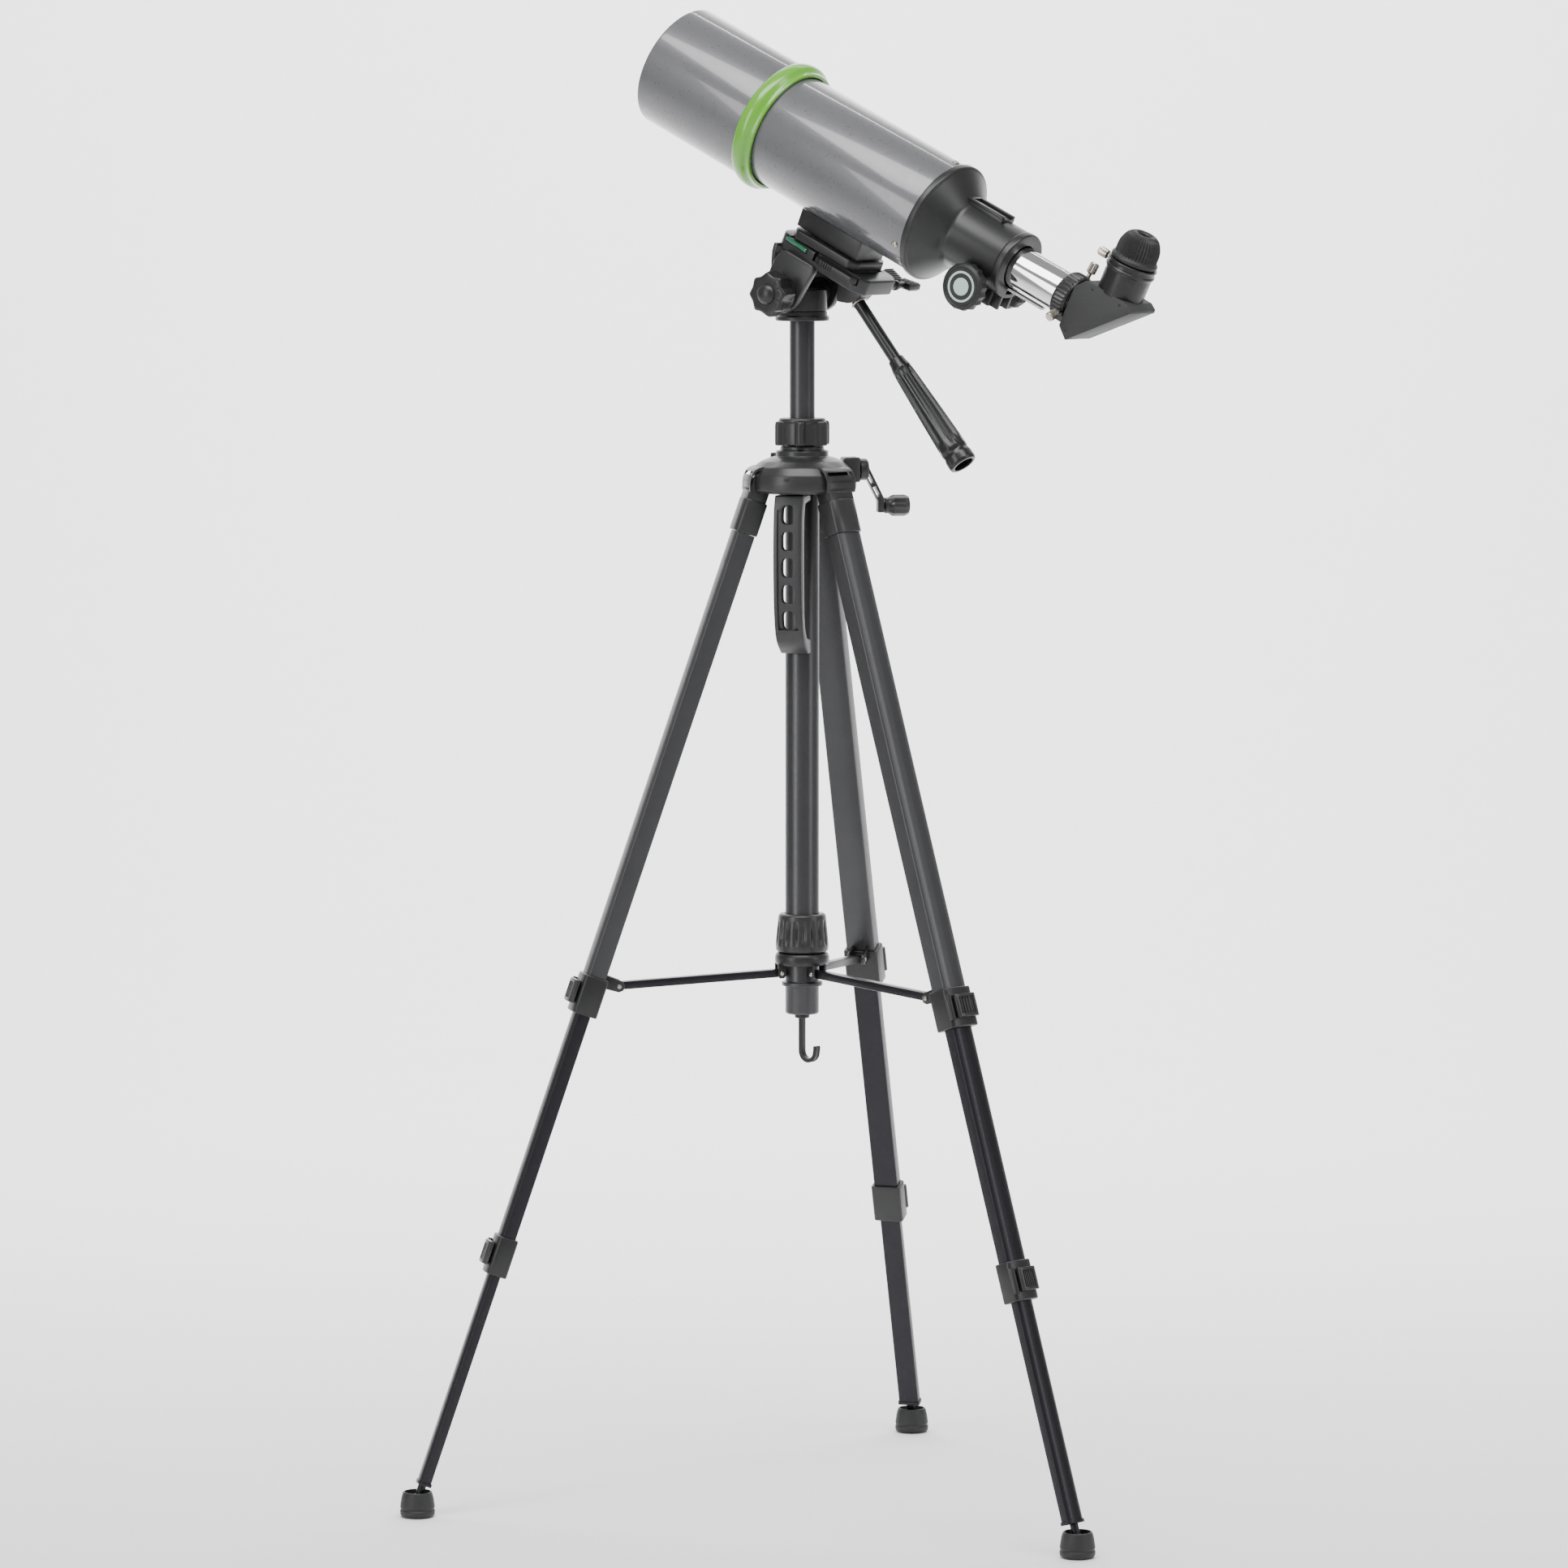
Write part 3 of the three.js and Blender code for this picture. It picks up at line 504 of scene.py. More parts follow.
def hood(angle):
    outline = [(33, 893), (41, 891.6), (45.4, 888.8), (48.2, 883), (49, 877), (49, 869.3), (33, 869.3)]
    cap = side_cut(rounded(outline, 3.0), -16.4, 16.4, 1.6, 3)
    cap = carved(moved(cap, turn("Z", angle)), arch(angle), side_arch(angle))
    lid = side_cut([(47.4, 869.3), (49, 869.3), (49, 877), (48.2, 883), (47.4, 885)], -12.8, 12.8, 0.3)
    return together(cap, moved(lid, turn("Z", angle)))


def crank_bore():
    return moved(rod(3.4, 20, 60, 0, 32), ALONG_X, shift(0, 0, 888), turn("Z", crank_angle()))


def canopy():
    profile = [(14.8, 869.2), (43, 869.2), (45.8, 872), (46.3, 878), (45, 885), (41, 891.5), (35, 896),
               (27, 899), (22.3, 900), (22.3, 904.8), (20, 905.2), (18.6, 906), (18.6, 908.5), (11.3, 908.5),
               (11.3, 887), (14.8, 887)]
    dome = turned(profile, 1.0, 108)
    cuts = [arch(leg_angle(letter)) for letter in LEG_LETTERS]
    shell = carved(dome, *cuts, crank_bore())
    housing = moved(block((35, -9.8, 877.5), (48.8, 9.8, 898.8), 1.6, 3), turn("Z", crank_angle()))
    notch = moved(block((44, -4, 893), (52, 4, 902), 0.4), turn("Z", crank_angle()))
    hoods = [hood(leg_angle(letter)) for letter in LEG_LETTERS]
    whole = together(shell, carved(housing, notch, crank_bore()), *hoods)
    piece("canopy_moulding", whole, STAND, slate_abs, "stand", "black_plastic", "canopy")
    for i, letter in enumerate(LEG_LETTERS):
        screw = moved(cross_screw(2.3, 0.7), ALONG_X, shift(45.4, 0, 881.5),
                      turn("Z", leg_angle(letter) + 60))
        piece(f"canopy_screw_{i + 1}", screw, STAND, black_steel, "stand", "nickel")


def round_level():
    place = (shift(31, 0, 0), turn("Z", ROUND_LEVEL_TURN))
    ring = moved(turned([(4.2, 896), (6.2, 896), (6.2, 901), (5.6, 901.8), (4.2, 901.8)], 0.4, 48), *place)
    piece("round_level_ring", ring, STAND, satin_black, "stand", "black_plastic")
    drop = moved(turned([(0, 897), (4.1, 897), (4.1, 900.6), (2.4, 901.3), (0, 901.5)], 0.4, 48,
                        closed=False), *place)
    piece("round_level_spirit", drop, STAND, level_spirit, "stand", "black_plastic")


canopy()
round_level()
print("canopy and column", len(made))

# %% [markdown]
# The crank is a short cranked lever with two long windows moulded through its arm, and a knob that spins on
# its end. The arm is one outline pushed sideways and cut; the knob is turned and then pressed into eight
# flats.

# %% Crank and its knob
WINDOW_LEAN = -26.6
KNOB_DROP = shift(0, 0, -31)
CRANK = local_frame(joint_point("crank_turn"), joint_axis("crank_turn"), UP.cross(joint_axis("crank_turn")),
                    UP)


def crank():
    outline = [(50.2, 4), (56, 5), (61, -5), (71, -25), (71, -36.8), (65.6, -36.8), (65.6, -27), (60, -16)]
    arm = side_cut(outline, -4.8, 4.8, 0.8)
    windows = []
    for x, z in ((58.2, -7.6), (63.9, -18.8)):
        windows.append(moved(block((-1.3, -9, -4.6), (1.3, 9, 4.6), 0), turn("Y", WINDOW_LEAN),
                             shift(x, 0, z)))
    arm = carved(arm, *windows)
    hub = moved(turned([(0, 49.7), (9.3, 49.7), (9.3, 55.6), (8.2, 56.9), (0, 56.9)], 0.6, 64, closed=False),
                ALONG_X)
    spindle = moved(rod(2.8, 22, 50, 0.4, 32), ALONG_X)
    stub = moved(rod(3.1, 66, 92.2, 0.3, 32), ALONG_X, KNOB_DROP)
    piece("crank_lever", together(arm, hub, spindle, stub), CRANK, slate_abs, "crank", "black_plastic",
          "crank_arm")
    grip = turned([(3.5, 71.7), (6.8, 71.7), (6.8, 75), (8.2, 77), (9.2, 79), (9.2, 89.5), (7.6, 92.9),
                   (3.5, 92.9)], 0.7, 96)
    fluted(grip, 8, 0.8, 76, 91.5, 1.2, 6, 1.0)
    piece("crank_knob_grip", moved(grip, ALONG_X, KNOB_DROP), CRANK, slate_abs, "crank_knob",
          "black_plastic", "crank_knob")


crank()

# %% [markdown]
# The carrying handle is a bowed strap with a row of finger windows and a raised rib round its edge. An
# outline drawn from the side gives the bow; rounded blocks cut the windows; the bevel gives the soft
# moulded edge.

# %% Carrying handle
HANDLE_TURN = 107.6


def smooth_line(points, steps=6):
    line = [Vector(p) for p in points]
    result = []
    for i in range(len(line) - 1):
        before = line[max(i - 1, 0)]
        after = line[min(i + 2, len(line) - 1)]
        for step in range(steps):
            t = step / steps
            a = 2 * line[i]
            b = line[i + 1] - before
            c = 2 * before - 5 * line[i] + 4 * line[i + 1] - after
            d = 3 * line[i] - before - 3 * line[i + 1] + after
            result.append((a + b * t + c * t ** 2 + d * t ** 3) * 0.5)
    result.append(line[-1])
    return result


def carry_handle():
    outside = smooth_line([(39, 868.4), (43, 850), (44, 810), (42, 770), (36, 746), (22, 733)])
    inside = smooth_line([(26, 747), (32, 762), (34, 810), (33, 848), (30, 861)])
    outline = [(15.4, 868.4)] + outside + [(15.4, 733), (15.4, 745)]
    outline += inside + [(15.4, 863)]
    strap = side_cut(outline, -12.4, 12.4, 1.6, 3)
    oval = rounded([(-8.4, -6), (8.4, -6), (8.4, 6), (-8.4, 6)], 5.4, arc_steps=6)
    tools = [moved(extruded(oval, 24, 54, 0), turn("Y", 90), shift(0, 0, 762 + 22.5 * i)) for i in range(5)]
    channel = smooth_line([(41.2, 856), (42, 840), (42.2, 810), (40.4, 770), (36.8, 754)])
    tools += [side_cut(channel + [(60, 754), (60, 856)], -9, 9, 0)]
    tools.append(rod(14.9, 700, 900, 0, 64))
    piece("carry_handle_strap", moved(carved(strap, *tools), turn("Z", HANDLE_TURN)), STAND, slate_abs,
          "stand", "black_plastic", "carry_handle")


carry_handle()

# %% [markdown]
# ## Lower collar, spreader hub and hook
# Below, a grip collar with a row of pressed-in teardrops, a ring with three pairs of ears for the arms, and
# a hanging hook. The hook is one flat bar carried along a line that goes straight down and then round.

# %% Lower collar, hub and hook
def lower_collar():
    grip = turned([(14.9, 475.4), (20.4, 475.4), (22.4, 477.5), (22.7, 482), (22.2, 488), (21.4, 496),
                   (20.6, 504), (20.2, 507.4), (18.5, 508.9), (14.9, 508.9)], 0.7, 216)
    fluted(grip, 18, 1.9, 481, 504, 9, 19, 2.5)
    piece("lower_collar_grip", grip, STAND, slate_abs, "lower_collar", "black_plastic", "lower_collar")


def spreader_hub():
    ring = turned([(14.9, 465), (22.4, 465), (23.3, 468), (23.2, 472), (21.8, 474.9), (14.9, 474.9)], 0.8, 96)
    ears = []
    rivets = []
    for letter in LEG_LETTERS:
        for side in (-1, 1):
            near, far = sorted((side * 4.95, side * 7.3))
            outline = [(15.6, 466), (15.6, 456), (17, 453.6), (21.2, 453.6), (22.5, 456), (22.5, 466)]
            ears.append(moved(side_cut(outline, near, far, 0.5), turn("Z", leg_angle(letter))))
            head = turned([(0, 6), (1.9, 6), (1.9, 7.8), (1.2, 8.5), (0, 8.6)], 0.3, 24, closed=False)
            flip = turn("Z", 0 if side > 0 else 180)
            rivets.append(moved(head, ALONG_Y, shift(0, 0, 458), flip, shift(19, 0, 0),
                                turn("Z", leg_angle(letter))))
    piece("spreader_ring", together(ring, *ears), STAND, black_abs, "hub", "black_plastic", "spreader_hub")
    piece("spreader_rivets", together(*rivets), STAND, nickel_steel, "hub", "nickel")


def hook():
    line = [Vector((0, 0, z)) for z in (421, 412, 403, 395, 391)]
    for step in range(1, 25):
        a = step / 24 * math.pi * 1.02
        line.append(Vector((-7.6 + 7.6 * math.cos(a), 0, 391 - 8.74 * math.sin(a) + max(0, a - 2.6) * 6)))
    bar = swept(line, [(-1.7, -2.9), (-0.9, -2), (-0.9, 2), (-1.7, 2.9), (1.7, 2.9), (2.2, 0), (1.7, -2.9)],
                NORTH)
    cap = turned([(0, 418.6), (5.9, 418.6), (6.4, 419.4), (6.4, 422), (4, 422.1), (4, 440), (0, 440)], 0.3,
                 48, closed=False)
    piece("hanging_hook", together(bar, cap), STAND, black_abs, "hook", "black_plastic", "hook")


lower_collar()
spreader_hub()
hook()
print("stand done", len(made))

# %% [markdown]
# ## Legs
# Each leg is three drawn tubes, one sliding in the next, with a bowed outer face. A moulded yoke holds the
# top, and a clamp with a flip lever sits at each joint. All three legs come from one function and their own
# frames.

# %% Leg sections
UPPER = (26.0, 18.0, 1.4)
MIDDLE = (22.0, 14.0, 1.2)
LOWER = (18.4, 10.6, 1.2)
UPPER_CLAMP = 459.6
LOWER_CLAMP = 694.0
LEG_BALL = -(joint_point("leg_a_foot_tilt") - joint_point("leg_a_fold")).length / MM
LUG_DROP = 444.3


def leg_outline(section, grow=0.0, radius=1.6):
    w = section[0] / 2 + grow
    d = section[1] / 2 + grow
    corners = [(-d, -w), (d - 2.2, -w), (d - 0.5, -w * 0.55), (d, 0), (d - 0.5, w * 0.55), (d - 2.2, w),
               (-d, w)]
    return rounded(corners, radius)


def leg_tube(section, top, bottom):
    return walled(leg_outline(section, -0.1), leg_outline(section, -section[2]), -bottom, -top)


# %% [markdown]
# The clamp is a short sleeve with a soft edge at both ends and a hinge knuckle at one side. Its lever is a
# curved plate with a raised frame and five ribs for the thumb.

# %% Clamps, levers, yoke and foot
def clamp(section, inner, at):
    outline = leg_outline(section, 2.45, 3.0)
    sleeve = soft_ended(outline, -at - 17, -at + 17, 1.2)
    way = extruded(leg_outline(inner, 0.4), -at - 30, -at + 30, 0)
    knuckle = rod(2.5, -at - 11, -at + 11, 0.5, 32)
    moved(knuckle, shift(section[1] / 2 + 2, -section[0] / 2 - 0.8, 0))
    return together(carved(sleeve, way), knuckle)


def flip_lever(section, at):
    face = (section[1] + 5) / 2
    half = section[0] / 2
    outline = [(face + 0.45, -half + 2.4), (face + 0.45, half), (face + 3.6, half - 0.2),
               (face + 4.9, half - 3), (face + 5.4, -half + 8), (face + 4.9, -half + 4.2),
               (face + 3.8, -half + 2.4)]
    plate = extruded(outline, -at - 9.9, -at + 9.9, 0.7, 2)
    window = block((face + 3.9, -half + 5.4, -at - 7.2), (face + 9, half - 4.6, -at + 7.2), 0.4)
    plate = carved(plate, window)
    ribs = []
    for i in range(5):
        y = -half + 7.6 + i * (2 * half - 13.6) / 4
        ribs.append(block((face + 3, y - 0.55, -at - 7.4), (face + 4.75, y + 0.55, -at + 7.4), 0.3))
    return together(plate, *ribs)


def yoke():
    head = moved(rod(9, -12.9, 12.9, 0.8, 64), ALONG_Y)
    outline = [(-10.4, -14.1), (7.6, -14.1), (10.2, -9), (10.7, 0), (10.2, 9), (7.6, 14.1), (-10.4, 14.1)]
    body = soft_ended(rounded(outline, 2.4), -45, -16.2, 0.9)
    neck = block((-8.7, -12.8, -18), (8.7, 12.8, 0), 0.8)
    return together(head, body, neck)


def leg_lugs():
    ears = []
    for side in (-1, 1):
        near, far = sorted((side * 5.15, side * 7.9))
        outline = [(-9, -LUG_DROP - 5.8), (-9, -LUG_DROP + 5.8), (-24, -LUG_DROP + 5),
                   (-27.3, -LUG_DROP + 2.4), (-27.3, -LUG_DROP - 2.4), (-24, -LUG_DROP - 5)]
        ears.append(side_cut(outline, near, far, 0.6))
    return ears


def rubber_foot():
    profile = [(0, 0), (12.6, 0), (14.4, 1), (15, 3.2), (15, 5.4), (14.2, 6.2), (14.2, 7), (14.9, 7.8),
               (14.6, 10.6), (13.6, 16.8), (12.4, 20.8), (11.8, 21.4), (10.9, 21.4), (10.9, 7.5), (0, 7.5)]
    return turned(profile, 0.6, 72, closed=False)


def lower_end():
    collar = extruded(leg_outline(LOWER, 0.75), LEG_BALL + 14, LEG_BALL + 17, 0.3)
    neck = rod(3.5, LEG_BALL, LEG_BALL + 15, 0.2, 32)
    ball = turned([(0, LEG_BALL - 5.9)] + [(5.9 * math.sin(a), LEG_BALL - 5.9 * math.cos(a)) for a in
                  [i * math.pi / 16 for i in range(1, 16)]] + [(0, LEG_BALL + 5.9)], 0, 40, closed=False)
    return [collar, neck, ball]


# %% [markdown]
# The spreader arm is a pressed channel that reaches from the hub's ears to the leg's lug. Pins close both
# pivots.

# %% Build the three legs
def spreader_arm(letter):
    plane = leg_plane(letter)
    inverse = plane.inverted()
    hub_point = inverse @ joint_point(f"leg_{letter}_arm_fold")
    lug_point = inverse @ (leg_frame(letter) @ Vector((-22.5, 0, -LUG_DROP)))
    reach = lug_point - hub_point
    slope = math.degrees(math.atan2(-reach.z, reach.x))
    span = reach.length
    bar = side_cut([(-2.6, 3.4), (-2.6, -3.4), (span + 2.5, -3.4), (span + 2.5, 3.4)], -4.4, 4.4, 0.9, 2)
    channel = block((7, -3.2, -6), (span - 5, 3.2, 2.1), 0.3)
    arm = carved(bar, channel)
    return moved(arm, turn("Y", slope), shift(hub_point.x, 0, hub_point.z))


def build_leg(letter):
    frame_of_leg = leg_frame(letter)
    name = f"leg_{letter}_"
    piece(name + "yoke_moulding", yoke(), frame_of_leg, slate_abs, f"leg_{letter}", "black_plastic",
          name + "yoke")
    tube = leg_tube(UPPER, 45.3, UPPER_CLAMP)
    piece(name + "upper_drawn_tube", tube, frame_of_leg, grey_anodised, f"leg_{letter}", "dark_alloy",
          name + "upper_tube")
    casting = together(clamp(UPPER, MIDDLE, UPPER_CLAMP), *leg_lugs())
    piece(name + "upper_clamp", casting, frame_of_leg, black_abs, f"leg_{letter}", "black_plastic",
          name + "upper_tube")
    piece(name + "upper_flip_lever", flip_lever(UPPER, UPPER_CLAMP), frame_of_leg, slate_abs,
          f"leg_{letter}_upper_lever", "black_plastic", name + "upper_lever")
    piece(name + "middle_drawn_tube", leg_tube(MIDDLE, 290, LOWER_CLAMP), frame_of_leg, black_anodised,
          f"leg_{letter}_middle", "black_alloy", name + "mid_tube")
    piece(name + "lower_clamp", clamp(MIDDLE, LOWER, LOWER_CLAMP), frame_of_leg, black_abs,
          f"leg_{letter}_middle", "black_plastic", name + "mid_tube")
    piece(name + "lower_flip_lever", flip_lever(MIDDLE, LOWER_CLAMP), frame_of_leg, slate_abs,
          f"leg_{letter}_lower_lever", "black_plastic", name + "lower_lever")
    last = together(leg_tube(LOWER, 545, -LEG_BALL - 16.8), *lower_end())
    piece(name + "lower_drawn_tube", last, frame_of_leg, black_anodised, f"leg_{letter}_bottom",
          "black_alloy", name + "lower_tube")
    spot = joint_point(f"leg_{letter}_foot_tilt")
    ground = local_frame((spot.x, spot.y, 0), EAST, NORTH, UP)
    piece(name + "rubber_foot", rubber_foot(), ground, black_rubber, f"leg_{letter}_foot", "soft_black",
          name + "foot")
    piece(name + "channel_arm", spreader_arm(letter), leg_plane(letter), black_anodised, f"leg_{letter}_arm",
          "black_alloy", name + "spreader_arm")
    pin = moved(turned([(0, -8.9), (1.9, -8.9), (1.9, -8), (1.2, -8), (1.2, 8), (1.9, 8), (1.9, 8.9),
                        (0, 8.9)], 0.2, 24, closed=False), ALONG_Y, shift(-22.5, 0, -LUG_DROP))
    piece(name + "lug_pin", pin, frame_of_leg, nickel_steel, f"leg_{letter}", "nickel")


for letter in LEG_LETTERS:
    build_leg(letter)
print("legs done", len(made))

# %% [markdown]
# ## Pan and tilt head
# The head sits on a round flange. A plinth swivels on it and carries a cross barrel, and the platform tilts
# round that barrel on two round cheeks. The cheeks and the deck are one moulding with large soft corners.

# %% Base, plinth and side knob
TILT_AXIS_Z = 1038.6


def head_base():
    flange = turned([(0, 1015), (22.4, 1015), (22.9, 1015.6), (22.9, 1018.6), (21.3, 1019.4), (21.3, 1022.9),
                     (0, 1022.9)], 0.5, 96, closed=False)
    piece("head_flange", flange, STAND, slate_abs, "column", "black_plastic", "pan_base")
    plinth = turned([(0, 1023.4), (21.1, 1023.4), (21.1, 1041), (20.2, 1042), (0, 1042)], 0.5, 96,
                    closed=False)
    barrel = moved(rod(12.9, -23.4, 23.4, 0.8, 72), ALONG_Y,
                   shift(0, 0, TILT_AXIS_Z))
    axle = moved(rod(3.9, -39.9, 43.9, 0.4, 40), ALONG_Y,
                 shift(0, 0, TILT_AXIS_Z))
    piece("tilt_plinth", together(plinth, barrel, axle), STAND, slate_abs, "pan_head", "black_plastic",
          "tilt_body")


def tilt_knob():
    rim = turned([(4.4, 0.1), (15.2, 0.1), (16.4, 3), (19.3, 6), (19.4, 9), (19.4, 17.6), (18.4, 20.6),
                  (15, 21.9), (9, 21.9), (4.4, 21.9)], 1.0, 192)
    fluted(rim, 8, 3.6, 2, 22.5, 3.5, 14.5, 0.7)
    dome = turned([(0, 14), (8.8, 14), (8.8, 22)] + [(8.8 * math.cos(a), 22 + 4.9 * math.sin(a)) for a in
                  [i * math.pi / 16 for i in range(1, 8)]] + [(0, 26.9)], 0, 72, closed=False)
    piece("tilt_knob_grip", moved(together(rim, dome), ALONG_Y, shift(0, 31.5, 0)), SWIVEL, black_abs,
          "side_knob", "soft_black", "side_knob")


head_base()
tilt_knob()

# %% [markdown]
# The platform is drawn from above as a long lozenge, given a soft edge, hollowed for the release plate and
# slotted at one side for the lever. The socket for the pan handle hangs under its rear end.

# %% Platform
def platform():
    plan = rounded([(24, -22), (30, -14), (30, 14), (24, 22), (-10, 27.9), (-60, 27.9), (-69.8, 20),
                    (-69.8, -20), (-60, -27.9), (-10, -27.9)], 3.0)
    deck = soft_ended(plan, 32, 45.4, 1.6)
    recess = block((-53, -22.5, 41.5), (18, 22.5, 50), 0)
    lever_slot = block((-63, 22.7, 38.1), (-14, 40, 46), 0)
    along_edge = (turn("Z", -9.8), shift(7, 25.0, 42.4))
    vial_seat = moved(block((-13.6, -1.5, -2.3), (13.6, 6, 2.3), 0), *along_edge)
    deck = carved(deck, recess, lever_slot, vial_seat)
    outline = rounded([(16, 35), (20, 20), (20, 6), (14, -11), (3, -17), (-9, -15), (-17, -6),
                                          (-18, 8), (-22, 35)], 7.0, arc_steps=6)
    axle_hole = moved(rod(4.4, -60, 60, 0, 40), ALONG_Y)
    cheeks = carved(together(side_cut(outline, 24, 30.9, 1.4, 3), side_cut(outline, -30.9, -24, 1.4, 3)),
                    axle_hole)
    apron_line = [(29, 34), (28, 26), (24.5, 17), (21.5, 10), (19.5, 10), (22, 18), (25, 27), (25.5, 34)]
    apron = side_cut(rounded(apron_line, 1.2), -25, 25, 0.6)
    socket = side_cut(rounded([(-33, 34), (-40, 12), (-52, 16), (-58, 22), (-62, 34)], 3.0),
                      -9.4, 9.4, 1.5, 3)
    bore = moved(rod(5.6, -6, 40, 0, 40), HANDLE_IN_TILT)
    piece("platform_moulding", together(deck, cheeks, apron, carved(socket, bore)), TILT, slate_abs,
          "platform", "black_plastic", "head_platform")
    vial = moved(turned([(0, -12.9), (1.6, -12.9), (2.0, -12), (2.0, 12), (1.6, 12.9), (0, 12.9)], 0.2, 40,
                        closed=False), ALONG_X, *along_edge)
    piece("platform_vial", vial, TILT, level_spirit, "platform", "black_plastic")


HANDLE = local_frame(joint_point("handle_grip_twist"), NORTH.cross(joint_axis("handle_grip_twist")), NORTH,
                     joint_axis("handle_grip_twist"))
HANDLE_IN_TILT = TILT.inverted() @ HANDLE
platform()


# %% [markdown]
# Two thumb levers lock the swivel at the far side. Each is a short shaft with a broad paddle pressed into
# ribs.

# %% Thumb levers, release lever and pan handle
def thumb_lever(at_x, at_z, length, lean):
    shaft = turned([(0, 0), (3, 0), (3, 6), (4.4, 7), (4.4, 10), (3, 11), (3, length), (0, length)], 0.4, 40,
                   closed=False)
    paddle = block((-8, -3, length - 3), (8, 3, length + 14), 1.6, 3)
    ribs = [block((-6.4 + 2.6 * i, -3.7, length - 1), (-5.4 + 2.6 * i, 3.7, length + 12),
                  0.35) for i in range(6)]
    whole = together(shaft, paddle, *ribs)
    return moved(whole, turn("Z", lean), turn("X", 90), shift(at_x, -26, at_z))


def thumb_levers():
    pair = together(thumb_lever(-50, 38, 14, 15), thumb_lever(-62, 37, 22, -10))
    piece("locking_levers", pair, TILT, black_abs, "platform", "black_plastic")


def release_lever():
    plan = rounded([(-22, 23.3), (-17.1, 24.6), (-17.1, 29.5), (-24, 32.3), (-58, 30.8), (-61.8, 27),
                    (-61.8, 23.3)], 1.5)
    body = extruded(plan, 38.7, 43.9, 0.7, 2)
    grooves = [block((-27.6 - 2.4 * i, 31.2, 38), (-26.6 - 2.4 * i, 34, 45), 0) for i in range(5)]
    tip = [block((-20.6 - 1.7 * i, 30.6, 38), (-19.9 - 1.7 * i, 34, 45), 0) for i in range(2)]
    piece("quick_release_lever", carved(body, *grooves, *tip), TILT, black_abs, "release_lever",
          "black_plastic", "release_lever")


def release_plate():
    outline = [(17, -16), (17, 16), (11, 22), (-46, 22), (-52, 16), (-52, -16), (-46, -22), (11, -22)]
    tongue = extruded(rounded([(x - 0.1, y * 0.995) for x, y in outline], 1.5), 41.9, 46, 0.4)
    wide = [(x * 1.03 + 0.4, y * 1.17) for x, y in outline]
    flange = soft_ended(rounded(wide, 2.5), 46.1, 54.1, 1.4)
    piece("release_plate_moulding", together(tongue, flange), TILT, black_abs, "telescope", "black_plastic",
          "release_plate")


def pan_handle():
    stem = turned([(0, -0.9), (4.1, -0.9), (5.3, 3), (5.3, 150), (4.2, 150.9), (0, 150.9)], 0.5, 64,
                  closed=False)
    piece("pan_handle_stem", stem, HANDLE, satin_black, "platform", "black_plastic", "pan_handle_rod")
    ring = turned([(5.45, 11.2), (6.7, 11.2), (7.1, 12), (6.7, 12.9), (5.45, 12.9)], 0.3, 64)
    piece("pan_handle_ferrule", ring, HANDLE, nickel_steel, "platform", "nickel")
    taper = [(5.7, 72.2), (6.9, 72.2), (7.3, 76), (8.6, 82), (9.1, 90), (9.9, 108), (10.8, 128), (11.5, 148),
             (12.2, 167), (11.2, 170.6), (12.2, 174), (12.3, 181), (11.3, 182.8), (8.6, 182.8), (8.6, 152.4),
             (5.7, 152.4)]
    grip = turned(dense(taper), 0.9, 180)
    fluted(grip, 9, 1.9, 79, 169, 12, 8.62, 0.7)
    piece("pan_handle_fluted_grip", grip, HANDLE, satin_black, "handle_grip", "soft_black", "pan_handle_grip")


thumb_levers()
release_lever()
release_plate()
pan_handle()
print("head done", len(made))

# %% [markdown]
# ## Telescope tube
# The tube is rolled aluminium with a clean edge, so a plain turned wall is right; what sells it is the
# enamel. The dew shield is the same with a rolled front lip. The green trim ring bulges, with a thin lip
# towards the eye end.

# %% Tube, dew shield and trim ring
def around_tube(profile, radius=0.5, steps=144, closed=True):
    return moved(turned(profile, radius, steps, closed), ALONG_X)


def axis_bore(radius, low, high, steps=96):
    return moved(rod(radius, low, high, 0, steps), ALONG_X)


def tube_pieces():
    piece("painted_tube", around_tube([(48.4, -99.7), (49.95, -99.7), (49.95, 77.4), (48.4, 77.4)], 0.3),
          TUBE, grey_enamel, "telescope", "grey_paint", "main_tube")
    shield = [(51.7, 78.4), (53.4, 78.4), (53.4, 195), (53.4, 197.4), (52.8, 198.2), (51.7, 198.2)]
    piece("painted_dew_shield", around_tube(shield, 0.4), TUBE, grey_enamel, "telescope", "grey_paint",
          "dew_shield")
    bulge = [(50.4, 69.1), (53.0, 69.1), (53.6, 70), (53.9, 72.6), (55.2, 74), (57.4, 76.2), (57.95, 79),
             (57.95, 81.5), (57.2, 84.6), (55.6, 86.8), (54, 87.9), (53.9, 77.9), (50.4, 77.9)]
    piece("green_trim_ring", around_tube(bulge, 1.2), TUBE, green_abs, "telescope", "green_gloss",
          "trim_ring")


def front_glass():
    cell = [(40.4, 79), (51.2, 79), (51.2, 95.6), (46, 96.9), (43, 95.4), (40.4, 94), (38.5, 93.6),
            (38.5, 92.2), (40.4, 92)]
    piece("objective_cell", around_tube(cell, 0.4), TUBE, black_abs, "telescope", "black_plastic",
          "lens_cell")
    curve = [(40 * i / 12, 92.4 - 3.2 * (i / 12) ** 2) for i in range(13)]
    back = [(40 * i / 8, 79.6 + 3.6 * (i / 8) ** 2) for i in range(8, 0, -1)]
    glass = [(0, 92.4)] + curve[1:-1] + [(38.2, 89.9), (39.9, 87.6), (39.9, 83.6)] + back[1:] + [(0, 79.6)]
    piece("objective_glass", around_tube(glass, 0, 96, closed=False), TUBE, coated_glass, "telescope",
          "glass", "objective_lens")


tube_pieces()
front_glass()

